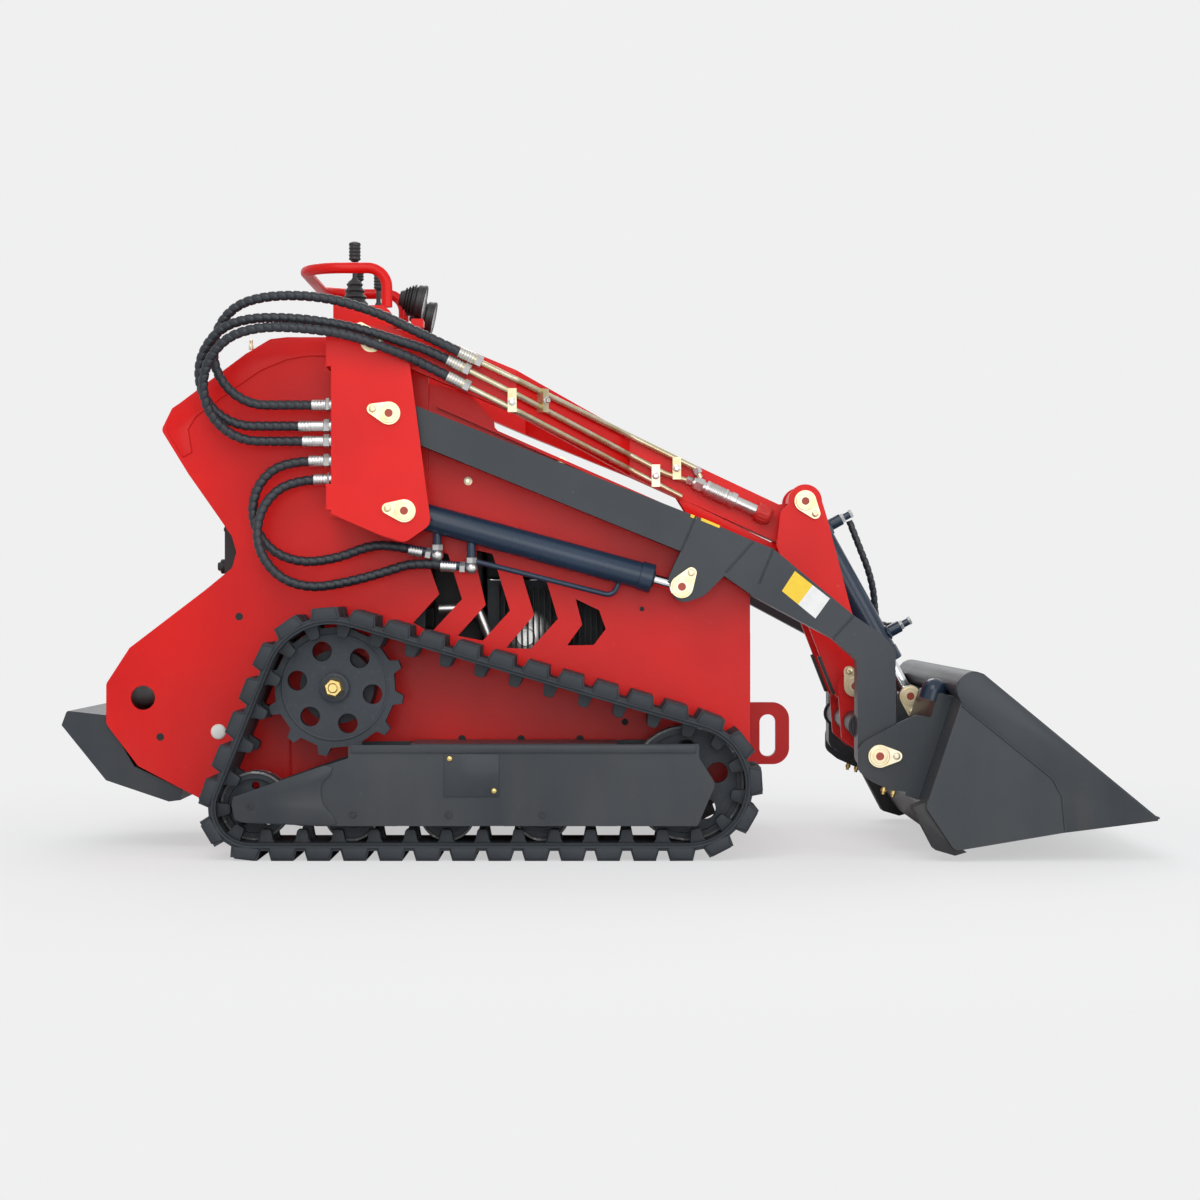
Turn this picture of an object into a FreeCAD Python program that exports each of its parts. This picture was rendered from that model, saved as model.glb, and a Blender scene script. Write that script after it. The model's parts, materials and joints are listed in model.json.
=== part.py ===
import FreeCAD, Part
import math
import os

# Mini track loader, in mm: +X forward to the bucket, +Y to the machine's left,
# +Z up, ground at Z = 0. Pieces are drawn on the right side, where Y is
# negative, and mirrored to the left where the machine is symmetric.

V = FreeCAD.Vector
os.makedirs("parts", exist_ok=True)

# ---- hinge pins (x, z) ----
UPPER_PIN = (-455, 1041)
BOOM_PIN = (-420, 895)
LIFT_BASE_PIN = (-389, 698)
LIFT_EYE_PIN = (172, 545)
CRANK_TOP_PIN = (444, 729)
CRANK_PIN = (548.5, 335)
TILT_EYE_PIN = (674, 311)
BUCKET_PIN = (572, 202)
CROSS_TUBE_AT = (548, 259)

PIN_R = 12.5
PIN_GAP = 0.05          # running clearance of a pin in its bore
SIDE_GAP = 0.5          # side play between an eye or hub and a plate
SEAT = 0.3              # gap at which one piece rests on another
CROSS_TUBE_R = 25
RETAINER_R = 23
RETAINER_SMALL_R = 11
RETAINER_T = 6
RETAINER_TAIL = 34
RETAINER_HEAD = 4       # how far a pin's end stands out of its retainer

# ---- planes across the machine (distance from the centre plane) ----
HULL_FACE = 270
HULL_PLATE_T = 8
INNER_TOWER_T = 10
ARM_GAP = 10            # side room between a boom arm and the inner tower
ARM_W = 70
ARM_WALL = 8
TOWER_GAP = 18          # side room between a boom arm and the outer tower
TOWER_T = 10
TRACK_GAP = 25          # side room between the hull and a belt
TRACK_W = 180
BUCKET_HALF = 500
LINK_NOSE_HALF = 45
LINK_LEG_INSET = 10     # how far a link leg stays inside the arm's faces
LINK_WALL = 6
CRANK_IN = 84
CRANK_T = 12
BRACKET_GAP = 2
BRACKET_T = 12
TILT_LUG_IN = 32
TILT_LUG_T = 14

HULL_IN = HULL_FACE - HULL_PLATE_T
INNER_TOWER_OUT = HULL_FACE + INNER_TOWER_T
ARM_IN = INNER_TOWER_OUT + ARM_GAP
ARM_OUT = ARM_IN + ARM_W
LINK_LEG_IN = ARM_IN + LINK_LEG_INSET
LINK_LEG_OUT = ARM_OUT - LINK_LEG_INSET
TRACK_IN = HULL_FACE + TRACK_GAP
TRACK_OUT = TRACK_IN + TRACK_W
TOWER_IN = ARM_OUT + TOWER_GAP
TOWER_OUT = TOWER_IN + TOWER_T
ARM_MID = (ARM_IN + ARM_OUT) / 2
CRANK_OUT = CRANK_IN + CRANK_T
BRACKET_IN = CRANK_OUT + BRACKET_GAP
BRACKET_OUT = BRACKET_IN + BRACKET_T
TRACK_MID = (TRACK_IN + TRACK_OUT) / 2

# ---- track and its wheels ----
SPROCKET_AT = (-528, 342)
IDLER_AT = (180, 150)
REAR_IDLER_AT = (-688, 104)
ROLLER_X = (-493, -300, -110)
SPROCKET_LOOP_R = 129
IDLER_R = 116
REAR_IDLER_R = 70
ROLLER_R = 56
BELT_T = 14
LUG_H = 20
LUG_TIP = 44
LUG_BASE = 56
LINKS = 36
LINK_FLAT = 34
GUIDE_H = 26
GUIDE_TIP = 14
GUIDE_NEAR = 38
GUIDE_FAR = 60
WINDOW_L = 30
WINDOW_W = 44
SPROCKET_T = 30
TEETH = 12
TOOTH_TIP_R = 139
TOOTH_ROOT_R = 122
PITCH_LINE = 8


def outline(points):
    """Closed wire in the XZ plane; a third number is that corner's radius."""
    n = len(points)
    cuts = []
    for i in range(n):
        a = V(points[i - 1][0], 0, points[i - 1][1])
        b = V(points[i][0], 0, points[i][1])
        c = V(points[(i + 1) % n][0], 0, points[(i + 1) % n][1])
        r = points[i][2] if len(points[i]) > 2 else 0
        if r <= 0:
            cuts.append((b, None, b))
            continue
        u = (a - b).normalize()
        w = (c - b).normalize()
        half = u.getAngle(w) / 2
        reach = r / math.tan(half)
        mid = (u + w).normalize()
        middle = b + mid * (r / math.sin(half) - r)
        cuts.append((b + u * reach, middle, b + w * reach))
    edges = []
    for i in range(n):
        start, middle, end = cuts[i]
        if middle is not None:
            edges.append(Part.Arc(start, middle, end).toShape())
        after = cuts[(i + 1) % n][0]
        if (after - end).Length > 1e-6:
            edges.append(Part.makeLine(end, after))
    return Part.Wire(edges)


def slab(points, y0, y1):
    """Plate with that outline between two planes across the machine."""
    face = Part.Face(outline(points))
    face.translate(V(0, y0, 0))
    return face.extrude(V(0, y1 - y0, 0))


def disc(at, radius, y0, y1):
    return Part.makeCylinder(radius, y1 - y0, V(at[0], y0, at[1]), V(0, 1, 0))


def ring(at, outer, inner, y0, y1):
    return disc(at, outer, y0, y1).cut(disc(at, inner, y0 - 1, y1 + 1))


def rod(start, end, radius):
    a = V(*start)
    b = V(*end)
    return Part.makeCylinder(radius, (b - a).Length, a, b - a)


def block(x0, x1, y0, y1, z0, z1):
    return Part.makeBox(x1 - x0, y1 - y0, z1 - z0, V(x0, y0, z0))


def mirrored(shape):
    return shape.mirror(V(0, 0, 0), V(0, 1, 0))


def both(shape):
    return [shape, mirrored(shape)]


def along(start, end, distance, offset=0):
    """Point at a distance from start towards end, and off to its left."""
    length = math.hypot(end[0] - start[0], end[1] - start[1])
    ux = (end[0] - start[0]) / length
    uz = (end[1] - start[1]) / length
    return (start[0] + ux * distance - uz * offset, start[1] + uz * distance + ux * offset)


def on_axis(start, end, near, far, radius, y=0):
    """Round bar on the line between two pins, from one distance to another."""
    a = along(start, end, near)
    b = along(start, end, far)
    return rod((a[0], y, a[1]), (b[0], y, b[1]), radius)


def tube(points, radius, share=0.45):
    """Solid along straight runs joined by tangent arcs, and its least arc radius."""
    spots = [V(*p) for p in points]
    edges = []
    tightest = 1e9
    at = spots[0]
    for i in range(1, len(spots) - 1):
        back = (spots[i - 1] - spots[i])
        ahead = (spots[i + 1] - spots[i])
        reach = share * min(back.Length, ahead.Length)
        u = back.normalize()
        w = ahead.normalize()
        half = u.getAngle(w) / 2
        r = reach * math.tan(half)
        tightest = min(tightest, r)
        start = spots[i] + u * reach
        end = spots[i] + w * reach
        mid = (u + w).normalize()
        middle = spots[i] + mid * (r / math.sin(half) - r)
        edges.append(Part.LineSegment(at, start).toShape())
        edges.append(Part.Arc(start, middle, end).toShape())
        at = end
    edges.append(Part.LineSegment(at, spots[-1]).toShape())
    spine = Part.Wire(edges)
    section = Part.Wire([Part.Circle(spots[0], spots[1] - spots[0], radius).toShape()])
    return spine.makePipeShell([section], True, True), tightest


def save(node, solids):
    shape = solids[0] if len(solids) == 1 else Part.makeCompound(solids)
    shape.exportStep("parts/" + node + ".step")


def retainer(pin, tail_angle, y_face):
    """Teardrop plate and pin end outside a plate face on the right side."""
    a = math.radians(tail_angle)
    bolt = (pin[0] + RETAINER_TAIL * math.cos(a), pin[1] + RETAINER_TAIL * math.sin(a))
    lean = math.acos((RETAINER_R - RETAINER_SMALL_R) / RETAINER_TAIL)
    y = y_face - RETAINER_T

    def spot(centre, radius, t):
        return V(centre[0] + radius * math.cos(t), y, centre[1] + radius * math.sin(t))

    edges = [
        Part.Arc(spot(pin, RETAINER_R, a + lean), spot(pin, RETAINER_R, a + math.pi),
                 spot(pin, RETAINER_R, a - lean)).toShape(),
        Part.makeLine(spot(pin, RETAINER_R, a - lean), spot(bolt, RETAINER_SMALL_R, a - lean)),
        Part.Arc(spot(bolt, RETAINER_SMALL_R, a - lean), spot(bolt, RETAINER_SMALL_R, a),
                 spot(bolt, RETAINER_SMALL_R, a + lean)).toShape(),
        Part.makeLine(spot(bolt, RETAINER_SMALL_R, a + lean), spot(pin, RETAINER_R, a + lean)),
    ]
    plate = Part.Face(Part.Wire(edges)).extrude(V(0, RETAINER_T, 0))
    return plate.fuse(disc(pin, PIN_R, y - RETAINER_HEAD, y))


# ==== hull ====
# Each side is one cut plate, with the sloping slots that vent the engine, the
# tie-down hole at the tail and a narrow flange along its sloping top edge.
TIE_BORE_R = 25
SMALL_BORE_R = 15
FLANGE_W = 14
FLANGE_T = 6
hull_outline = [(-558, 1061), (-640, 1061, 20), (-675, 1057, 20), (-723, 1028), (-818, 954),
     (-878, 914, 14), (-900, 869, 14), (-844, 778), (-783, 691), (-754, 649, 14),
     (-745, 617, 10), (-754, 584, 14), (-809, 539), (-966, 419), (-1014, 345, 14),
     (-1014, 262, 20), (-948, 175), (-818, 107), (295, 107), (316, 118), (316, 522),
     (254, 665), (-349, 929), (-399, 947), (-399, 1057)]
vent_slots = [
    [(-330, 618), (-308, 613), (-279, 520), (-343, 450), (-380, 471), (-326, 530), (-345, 584)],
    [(-249, 621), (-216, 613), (-180, 496), (-236, 434), (-288, 444), (-230, 508), (-250, 592)],
    [(-155, 570), (-104, 555), (-81, 479), (-137, 417), (-188, 419), (-130, 487)],
    [(-44, 520), (4, 497), (18, 458), (-7, 425), (-62, 424), (-31, 467)],
]
TIE_AT = (-938, 316)
SMALL_AT = (-782, 246)
DECK_LOW = (248, 668)
DECK_HIGH = (-328, 921)
hull_plate = slab(hull_outline, -HULL_FACE, -HULL_IN)
cutters = [slab(c, -HULL_FACE - 1, -HULL_IN + 1) for c in vent_slots]
cutters.append(disc(TIE_AT, TIE_BORE_R, -HULL_FACE - 1, -HULL_IN + 1))
cutters.append(disc(SMALL_AT, SMALL_BORE_R, -HULL_FACE - 1, -HULL_IN + 1))
flange_section = [DECK_HIGH, DECK_LOW, along(DECK_LOW, DECK_HIGH, 0, FLANGE_T),
                  along(DECK_HIGH, DECK_LOW, 0, -FLANGE_T)]
flange = slab(flange_section, -HULL_FACE - FLANGE_W, -HULL_FACE + 1)
hull_plate = hull_plate.cut(cutters).fuse(flange)
save("hull_sides", both(hull_plate))

# The folded tub between the side plates: floor, front wall, sloping deck and
# tail, with a raised cheek each side behind the boom arms.
CHEEK_T = 8
FLOOR_Z = 128
tub_outline = [(-811, 120), (287, 120), (308, 125), (308, 518), (250, 652), (-201, 861), (-325, 861),
     (-325, 737), (-552, 530), (-738, 530), (-809, 522), (-953, 410), (-999, 344, 10),
     (-999, 262, 14), (-935, 179)]
tub_inside = [(-807, 128), (287, 128), (300, 133), (300, 516), (244, 646), (-201, 851), (-314, 853),
     (-314, 731), (-548, 522), (-738, 522), (-804, 514), (-947, 404), (-991, 340, 8),
     (-991, 264, 10), (-928, 187)]
cheek_outline = [(-397, 969), (-329, 963), (-263, 944, 16), (-213, 888, 10), (-207, 820), (-397, 799)]
tub = slab(tub_outline, -HULL_IN, HULL_IN).cut(slab(tub_inside, -HULL_IN - 1, HULL_IN + 1))
cheek = slab(cheek_outline, -HULL_IN, -HULL_IN + CHEEK_T)
tub = tub.fuse([cheek, mirrored(cheek)])
save("hull_tub", [tub])

ENGINE_HALF = 170
TANK_HALF = 200
engine = block(-230, 140, -ENGINE_HALF, ENGINE_HALF, FLOOR_Z + SEAT, 560)
save("engine_block", [engine])
tank = block(-700, -360, -TANK_HALF, TANK_HALF, FLOOR_Z + SEAT, 500)
save("oil_and_fuel_tank", [tank])

# The operator's console closes the top between the towers.
CONSOLE_TOP = 1128
CONSOLE_X = (-546, -428)
console = slab([(CONSOLE_X[0], 1040), (CONSOLE_X[1], 1040), (CONSOLE_X[1], CONSOLE_TOP - 12, 8),
                (CONSOLE_X[1] - 14, CONSOLE_TOP), (CONSOLE_X[0], CONSOLE_TOP)], -HULL_IN, HULL_IN)
save("dash_panel", [console])

# ==== towers ====
# Each tower is a channel: an outer plate with a rounded foot, an inner plate on
# the hull side, and flanges that close the rear above and below the hoses.
TOWER_REAR = -547
FLANGE_PLATE = 10
tower_face = [(-537, 1083, 4), (-414, 1069, 6), (-391, 1055, 8), (-385, 1045), (-339, 698),
     (-335, 671, 24), (-389, 633, 24), (-438, 649), (-537, 692)]
inner_face = [(-548, 1070), (-398, 1070, 8), (-348, 984, 20), (-348, 687), (-548, 687)]
tower = slab(tower_face, -TOWER_OUT, -TOWER_IN)
tower = tower.fuse([
    slab(inner_face, -INNER_TOWER_OUT, -HULL_FACE),
    block(TOWER_REAR, TOWER_REAR + FLANGE_PLATE, -TOWER_OUT, -HULL_FACE, 700, 752),
    block(TOWER_REAR, TOWER_REAR + FLANGE_PLATE, -TOWER_OUT, -HULL_FACE, 990, 1052),
])
tower = tower.cut(disc(BOOM_PIN, PIN_R, -INNER_TOWER_OUT - 1, -HULL_FACE))
BULKHEAD_X = -520
BULKHEAD_T = 6
bulkhead = block(BULKHEAD_X, BULKHEAD_X + BULKHEAD_T, -TOWER_IN - 1, -INNER_TOWER_OUT + 1, 730, 935)
save("towers", [tower.fuse(bulkhead).removeSplitter(), mirrored(tower.removeSplitter())])

stubs = []
for pin in (UPPER_PIN, BOOM_PIN, LIFT_BASE_PIN):
    stubs += both(disc(pin, PIN_R, -TOWER_IN + SEAT, -INNER_TOWER_OUT - SEAT))
save("tower_pins", stubs)
plates = []
for pin, angle in ((UPPER_PIN, 130), (BOOM_PIN, 166), (LIFT_BASE_PIN, 172)):
    plates += both(retainer(pin, angle, -TOWER_OUT))
save("tower_retainers", plates)

# ==== track ====
def tangent_path(circles):
    """Lines and arcs round the circles, counterclockwise, as a list of runs."""
    runs = []
    n = len(circles)
    angles = []
    for i in range(n):
        (x1, z1), r1 = circles[i]
        (x2, z2), r2 = circles[(i + 1) % n]
        gap = math.hypot(x2 - x1, z2 - z1)
        angles.append(math.atan2(z2 - z1, x2 - x1) + math.asin((r1 - r2) / gap))
    for i in range(n):
        (x1, z1), r1 = circles[i]
        (x2, z2), r2 = circles[(i + 1) % n]
        before = angles[i - 1]
        after = angles[i]
        turn = (after - before) % (2 * math.pi)
        runs.append(("arc", (x1, z1), r1, before, turn))
        start = (x1 + r1 * math.sin(after), z1 - r1 * math.cos(after))
        end = (x2 + r2 * math.sin(after), z2 - r2 * math.cos(after))
        runs.append(("line", start, end, after, math.hypot(end[0] - start[0], end[1] - start[1])))
    return runs


def run_length(run):
    return run[4] * (run[2] + PITCH_LINE) if run[0] == "arc" else run[4]


belt_runs = tangent_path([(REAR_IDLER_AT, REAR_IDLER_R), (IDLER_AT, IDLER_R),
                          (SPROCKET_AT, SPROCKET_LOOP_R)])
belt_length = sum(run_length(run) for run in belt_runs)
pitch = belt_length / LINKS


def belt_point(s, out, flat=0):
    """Point at distance s along the pitch line, moved out from the belt's inner
    face; on an arc the corners of a flat that long are lifted to clear it."""
    s = s % belt_length
    for run in belt_runs:
        if s <= run_length(run):
            break
        s -= run_length(run)
    if run[0] == "arc":
        a = run[3] + s / (run[2] + PITCH_LINE)
        radius = run[2] + out
        if flat:
            radius = run[2] / math.cos(flat / 2 / (run[2] + PITCH_LINE))
        return (run[1][0] + radius * math.sin(a), run[1][1] - radius * math.cos(a))
    a = run[3]
    return (run[1][0] + s * math.cos(a) + out * math.sin(a), run[1][1] + s * math.sin(a) - out * math.cos(a))


outer_points = []
inner_points = []
for k in range(LINKS):
    for ds, h in ((-LUG_BASE / 2, BELT_T), (-LUG_TIP / 2, BELT_T + LUG_H),
                  (LUG_TIP / 2, BELT_T + LUG_H), (LUG_BASE / 2, BELT_T)):
        outer_points.append(belt_point(k * pitch + ds, h))
    for ds in (-LINK_FLAT / 2, LINK_FLAT / 2):
        inner_points.append(belt_point((k + 0.5) * pitch + ds, 0, pitch - LINK_FLAT))
band = Part.Face(outline(outer_points)).cut(Part.Face(outline(inner_points)))
band.translate(V(0, -TRACK_OUT, 0))
belt = band.extrude(V(0, TRACK_OUT - TRACK_IN, 0))
windows = []
guides = []
for k in range(LINKS):
    middle = (k + 0.5) * pitch
    lug_room = (pitch - LUG_TIP) / 2
    opening = ((-WINDOW_L / 2, -6), (WINDOW_L / 2, -6), (lug_room, BELT_T + LUG_H),
               (-lug_room, BELT_T + LUG_H))
    corners = [belt_point(middle + d, h) for d, h in opening]
    windows.append(slab(corners, -TRACK_MID - WINDOW_W / 2, -TRACK_MID + WINDOW_W / 2))
    base = [belt_point(middle + d, 0, pitch - LINK_FLAT) for d in (-LINK_FLAT / 2, LINK_FLAT / 2)]
    top = [belt_point(middle, -GUIDE_H)]
    root = [belt_point(middle + d, 5) for d in (-GUIDE_TIP / 2, GUIDE_TIP / 2)]
    for y in (-TRACK_MID - GUIDE_FAR, -TRACK_MID + GUIDE_NEAR):
        guides.append(slab([root[0], root[1], base[1], top[0], base[0]], y, y + GUIDE_FAR - GUIDE_NEAR))
belt = belt.cut(windows).fuse(guides)
save("track_right", [belt])
save("track_left", [mirrored(belt)])

# The sprocket's teeth stand in the belt's windows.
first_window = 0
for k in range(LINKS):
    x, z = belt_point((k + 0.5) * pitch, 0)
    if z > SPROCKET_AT[1] + 100 and abs(x - SPROCKET_AT[0]) < 40:
        first_window = math.atan2(z - SPROCKET_AT[1], x - SPROCKET_AT[0])
TOOTH_ROOT_HALF = 6.5
TOOTH_TIP_HALF = 3.5
WHEEL_HOLE_AT = 77
WHEEL_HOLE_R = 20
tooth_points = []
for k in range(TEETH):
    a = first_window + 2 * math.pi * k / TEETH
    for half, r in ((-TOOTH_ROOT_HALF, TOOTH_ROOT_R), (-TOOTH_TIP_HALF, TOOTH_TIP_R),
                    (TOOTH_TIP_HALF, TOOTH_TIP_R), (TOOTH_ROOT_HALF, TOOTH_ROOT_R)):
        t = a + math.radians(half)
        tooth_points.append((SPROCKET_AT[0] + r * math.cos(t), SPROCKET_AT[1] + r * math.sin(t)))
wheel = slab(tooth_points, -TRACK_MID - SPROCKET_T / 2, -TRACK_MID + SPROCKET_T / 2)
holes = []
for k in range(6):
    a = first_window + math.radians(30 + 60 * k)
    at = (SPROCKET_AT[0] + WHEEL_HOLE_AT * math.cos(a), SPROCKET_AT[1] + WHEEL_HOLE_AT * math.sin(a))
    holes.append(disc(at, WHEEL_HOLE_R, -TRACK_MID - SPROCKET_T, -TRACK_MID + SPROCKET_T))
HUB_HALF = 25
wheel = wheel.cut(holes).fuse(disc(SPROCKET_AT, 30, -TRACK_MID - HUB_HALF, -TRACK_MID + HUB_HALF))
save("sprockets", both(wheel))
motor = disc(SPROCKET_AT, 75, -TRACK_MID + HUB_HALF + 5, -HULL_FACE - SEAT)
motor = motor.fuse(disc(SPROCKET_AT, 28, -TRACK_MID + HUB_HALF + SEAT, -TRACK_MID + HUB_HALF + 6))
save("drive_motors", both(motor))


def turned(at, profile):
    """Wheel turned about its axle from (radius, distance across) points."""
    wire = Part.makePolygon([V(at[0] + r, -TRACK_MID + y, at[1]) for r, y in profile + [profile[0]]])
    return Part.Face(wire).revolve(V(at[0], -TRACK_MID, at[1]), V(0, 1, 0), 360)


WHEEL_GAP = 0.9
IDLER_HALF = 22
IDLER_RIM = 14
IDLER_WEB_HALF = 10
IDLER_HUB_R = 24
AXLE_R = 12
AXLE_HALF = 30


def idler(at, radius, holes_at, hole_r):
    edge = radius - WHEEL_GAP
    rim = edge - IDLER_RIM
    body = turned(at, [(0, -AXLE_HALF), (IDLER_HUB_R, -AXLE_HALF), (IDLER_HUB_R, -IDLER_WEB_HALF),
                       (rim, -IDLER_WEB_HALF), (rim, -IDLER_HALF), (edge, -IDLER_HALF), (edge, IDLER_HALF),
                       (rim, IDLER_HALF), (rim, IDLER_WEB_HALF), (IDLER_HUB_R, IDLER_WEB_HALF),
                       (IDLER_HUB_R, AXLE_HALF), (0, AXLE_HALF)])
    cuts = []
    for k in range(5):
        a = math.radians(18 + 72 * k)
        spot = (at[0] + holes_at * math.cos(a), at[1] + holes_at * math.sin(a))
        cuts.append(disc(spot, hole_r, -TRACK_MID - IDLER_HALF, -TRACK_MID + IDLER_HALF))
    return body.cut(cuts)


front_idler = idler(IDLER_AT, IDLER_R, 66, 21)
rear_idler = idler(REAR_IDLER_AT, REAR_IDLER_R, 40, 8)
save("track_idlers", both(front_idler) + both(rear_idler))
ROLLER_HALF = 26
ROLLER_HUB_R = 18
ROLLER_AXLE_HALF = 32
ROLLER_Z = BELT_T + LUG_H + ROLLER_R
rollers = []
edge = ROLLER_R - WHEEL_GAP
roller_profile = [(0, -ROLLER_AXLE_HALF), (ROLLER_HUB_R, -ROLLER_AXLE_HALF), (ROLLER_HUB_R, -ROLLER_HALF),
                  (edge, -ROLLER_HALF), (edge, ROLLER_HALF), (ROLLER_HUB_R, ROLLER_HALF),
                  (ROLLER_HUB_R, ROLLER_AXLE_HALF), (0, ROLLER_AXLE_HALF)]
for x in ROLLER_X:
    rollers += both(turned((x, ROLLER_Z), roller_profile))
save("track_rollers", rollers)

# Track frame: cover plate outside, inner plate, top channel, axles and feet.
COVER_OUT = 470
COVER_T = 8
INNER_OUT = 312
cover_outline = [(-494, 228, 4), (203, 232, 4), (203, 204), (236, 153, 18), (200, 69, 6), (-546, 69, 6),
     (-699, 75, 14), (-720, 81, 10), (-725, 105, 10), (-721, 125, 8), (-536, 190), (-494, 204)]
frame_pieces = [slab(cover_outline, -INNER_OUT, -INNER_OUT + COVER_T),
                block(-370, 40, -COVER_OUT + 1, -INNER_OUT + 4, 218, 232)]
for x in ROLLER_X:
    frame_pieces.append(disc((x, ROLLER_Z), 10, -COVER_OUT + 1, -TRACK_MID - ROLLER_AXLE_HALF - SEAT))
    frame_pieces.append(disc((x, ROLLER_Z), 10, -TRACK_MID + ROLLER_AXLE_HALF + SEAT, -INNER_OUT + 1))
for at in (REAR_IDLER_AT, IDLER_AT):
    frame_pieces.append(disc(at, AXLE_R, -COVER_OUT + 1, -TRACK_MID - AXLE_HALF - SEAT))
    frame_pieces.append(disc(at, AXLE_R, -TRACK_MID + AXLE_HALF + SEAT, -INNER_OUT + 1))
for x in (-350, 60):
    frame_pieces.append(block(x, x + 100, -INNER_OUT + COVER_T - 1, -HULL_FACE, 150, 230))
track_frame = slab(cover_outline, -COVER_OUT, -COVER_OUT + COVER_T).fuse(frame_pieces).removeSplitter()
save("track_frames", both(track_frame))

# ==== rear and front fittings ====
weight = slab([(-1097, 289, 6), (-1018, 280), (-958, 174), (-856, 126), (-862, 104), (-886, 101),
     (-1016, 145), (-1108, 259)], -HULL_IN, HULL_IN)
save("tail_weight", [weight])
# A closed control box in the notch over the operator's platform.
box_outline = [(-790, 524.5), (-752, 528.8), (-752, 683, 8), (-790, 683, 8)]
rear_unit = slab(box_outline, -130, 130)
rear_unit = rear_unit.fuse(rod((-806, -60, 590), (-789, -60, 590), 15))
save("rear_unit", [rear_unit])
EYE_T = 24
EYE_ROOT = 308 + SEAT
eye = slab([(EYE_ROOT, 296), (416, 296, 36), (416, 162, 36), (EYE_ROOT, 162)], -EYE_T / 2, EYE_T / 2)
eye = eye.cut(slab([(352, 270, 17), (387, 270, 17), (387, 179, 17), (352, 179, 17)], -EYE_T, EYE_T))
save("tow_eye", [eye])

# ==== controls ====
HANDLE_HALF = 225
HANDLE_R = 11.5
HANDLE_BEND = 40
RAIL_Z = CONSOLE_TOP + 82
RAIL_REAR = -616
POST_X = -438
handle_path = [
    (POST_X, -HANDLE_HALF, CONSOLE_TOP), (POST_X, -HANDLE_HALF, RAIL_Z), (RAIL_REAR, -HANDLE_HALF, RAIL_Z),
    (RAIL_REAR, HANDLE_HALF, RAIL_Z), (POST_X, HANDLE_HALF, RAIL_Z), (POST_X, HANDLE_HALF, CONSOLE_TOP),
]
handle = tube(handle_path, HANDLE_R, HANDLE_BEND / (RAIL_Z - CONSOLE_TOP))[0]
save("reference_handle", [handle])


STEM_R = 5


def lever(x, y, height, boot_r, boot_h, grip_r, grip_h):
    """Rubber boot, stem and grip turned as one, standing on the console."""
    top_z = CONSOLE_TOP + height
    boot_top = CONSOLE_TOP + boot_h
    profile = [(0, CONSOLE_TOP), (boot_r, CONSOLE_TOP), (boot_r * 0.4, boot_top), (STEM_R, boot_top),
               (STEM_R, top_z - grip_h), (grip_r, top_z - grip_h + 6), (grip_r, top_z - 6),
               (grip_r - 4, top_z), (0, top_z)]
    wire = Part.makePolygon([V(x + r, y, z) for r, z in profile + [profile[0]]])
    return Part.Face(wire).revolve(V(x, y, 0), V(0, 0, 1), 360)


save("control_levers", [
    lever(-516, -110, 152, 30, 68, 11, 44),
    lever(-512, -70, 108, 20, 40, 10, 38),
    lever(-484, 100, 115, 20, 40, 9, 42),
])

# Work lamps: ribbed cone housings on a strap, facing forward and a little down.
LAMP_FACE = (-368, 1146)
LAMP_TILT = 12
LAMP_FRONT_R = 36
LAMP_BACK_R = 15
LAMP_DEPTH = 50
LAMP_Y = 150


def lamp(y):
    profile = [(0, 0), (LAMP_FRONT_R, 0), (LAMP_FRONT_R, -12), (LAMP_FRONT_R - 5, -16),
               (LAMP_FRONT_R - 5, -22), (LAMP_FRONT_R - 8, -26), (LAMP_BACK_R + 6, -38),
               (LAMP_BACK_R, -LAMP_DEPTH), (0, -LAMP_DEPTH)]
    wire = Part.makePolygon([V(d, y, r) for r, d in profile + [profile[0]]])
    body = Part.Face(wire).revolve(V(0, y, 0), V(1, 0, 0), 360)
    body.rotate(V(0, y, 0), V(0, 1, 0), LAMP_TILT)
    body.translate(V(LAMP_FACE[0], 0, LAMP_FACE[1]))
    return body


save("work_lamps", [lamp(-LAMP_Y), lamp(LAMP_Y)])
STRAP_Z = CONSOLE_TOP - 36
strap_section = [(CONSOLE_X[1], STRAP_Z), (-366, STRAP_Z, 6), (-366, 1110.4, 3), (-392, 1110.4),
                 (-392, STRAP_Z + 6), (CONSOLE_X[1], STRAP_Z + 6)]
strap = slab(strap_section, -LAMP_Y - 20, -LAMP_Y + 20)
save("lamp_brackets", both(strap))

# ==== boom ====
arm_outline = [(-400, 912, 10), (-367, 912), (201, 688), (318, 638), (358, 622), (521, 487),
     (580, 447, 24), (606, 419, 24), (608, 175, 24), (529, 175, 24), (529, 394, 20),
     (479, 439, 20), (320, 524), (258, 567), (217, 526, 28), (160, 506, 28), (144, 561, 20),
     (170, 617), (-353, 830), (-416, 855, 20)]
arm_inside = [(-359, 887), (197, 668), (314, 619), (351, 605), (509, 471), (566, 429), (590, 400),
     (590, 271), (546, 271), (546, 400), (489, 453), (331, 542), (221, 599), (189, 634),
     (-347, 849)]
BOOM_HUB_R = 38
EYE_WALL = 7            # arm wall left on each side of the lift rod's slot
EYE_ROOM = 4            # side room of the lift rod's eye in its slot
EYE_HALF = ARM_W / 2 - EYE_WALL - EYE_ROOM
arm = slab(arm_outline, -ARM_OUT, -ARM_IN)
arm = arm.fuse([disc(BOOM_PIN, BOOM_HUB_R, -ARM_OUT, -ARM_IN),
                disc(BOOM_PIN, 28, -TOWER_IN + SIDE_GAP, -INNER_TOWER_OUT - SIDE_GAP),
                disc(BUCKET_PIN, BOOM_HUB_R, -ARM_OUT, -ARM_IN)]).removeSplitter()
eye_slot = slab([(90, 470), (260, 470), (260, 560), (235, 600), (140, 606), (90, 590)],
                -ARM_MID - EYE_HALF - EYE_ROOM, -ARM_MID + EYE_HALF + EYE_ROOM)
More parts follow.
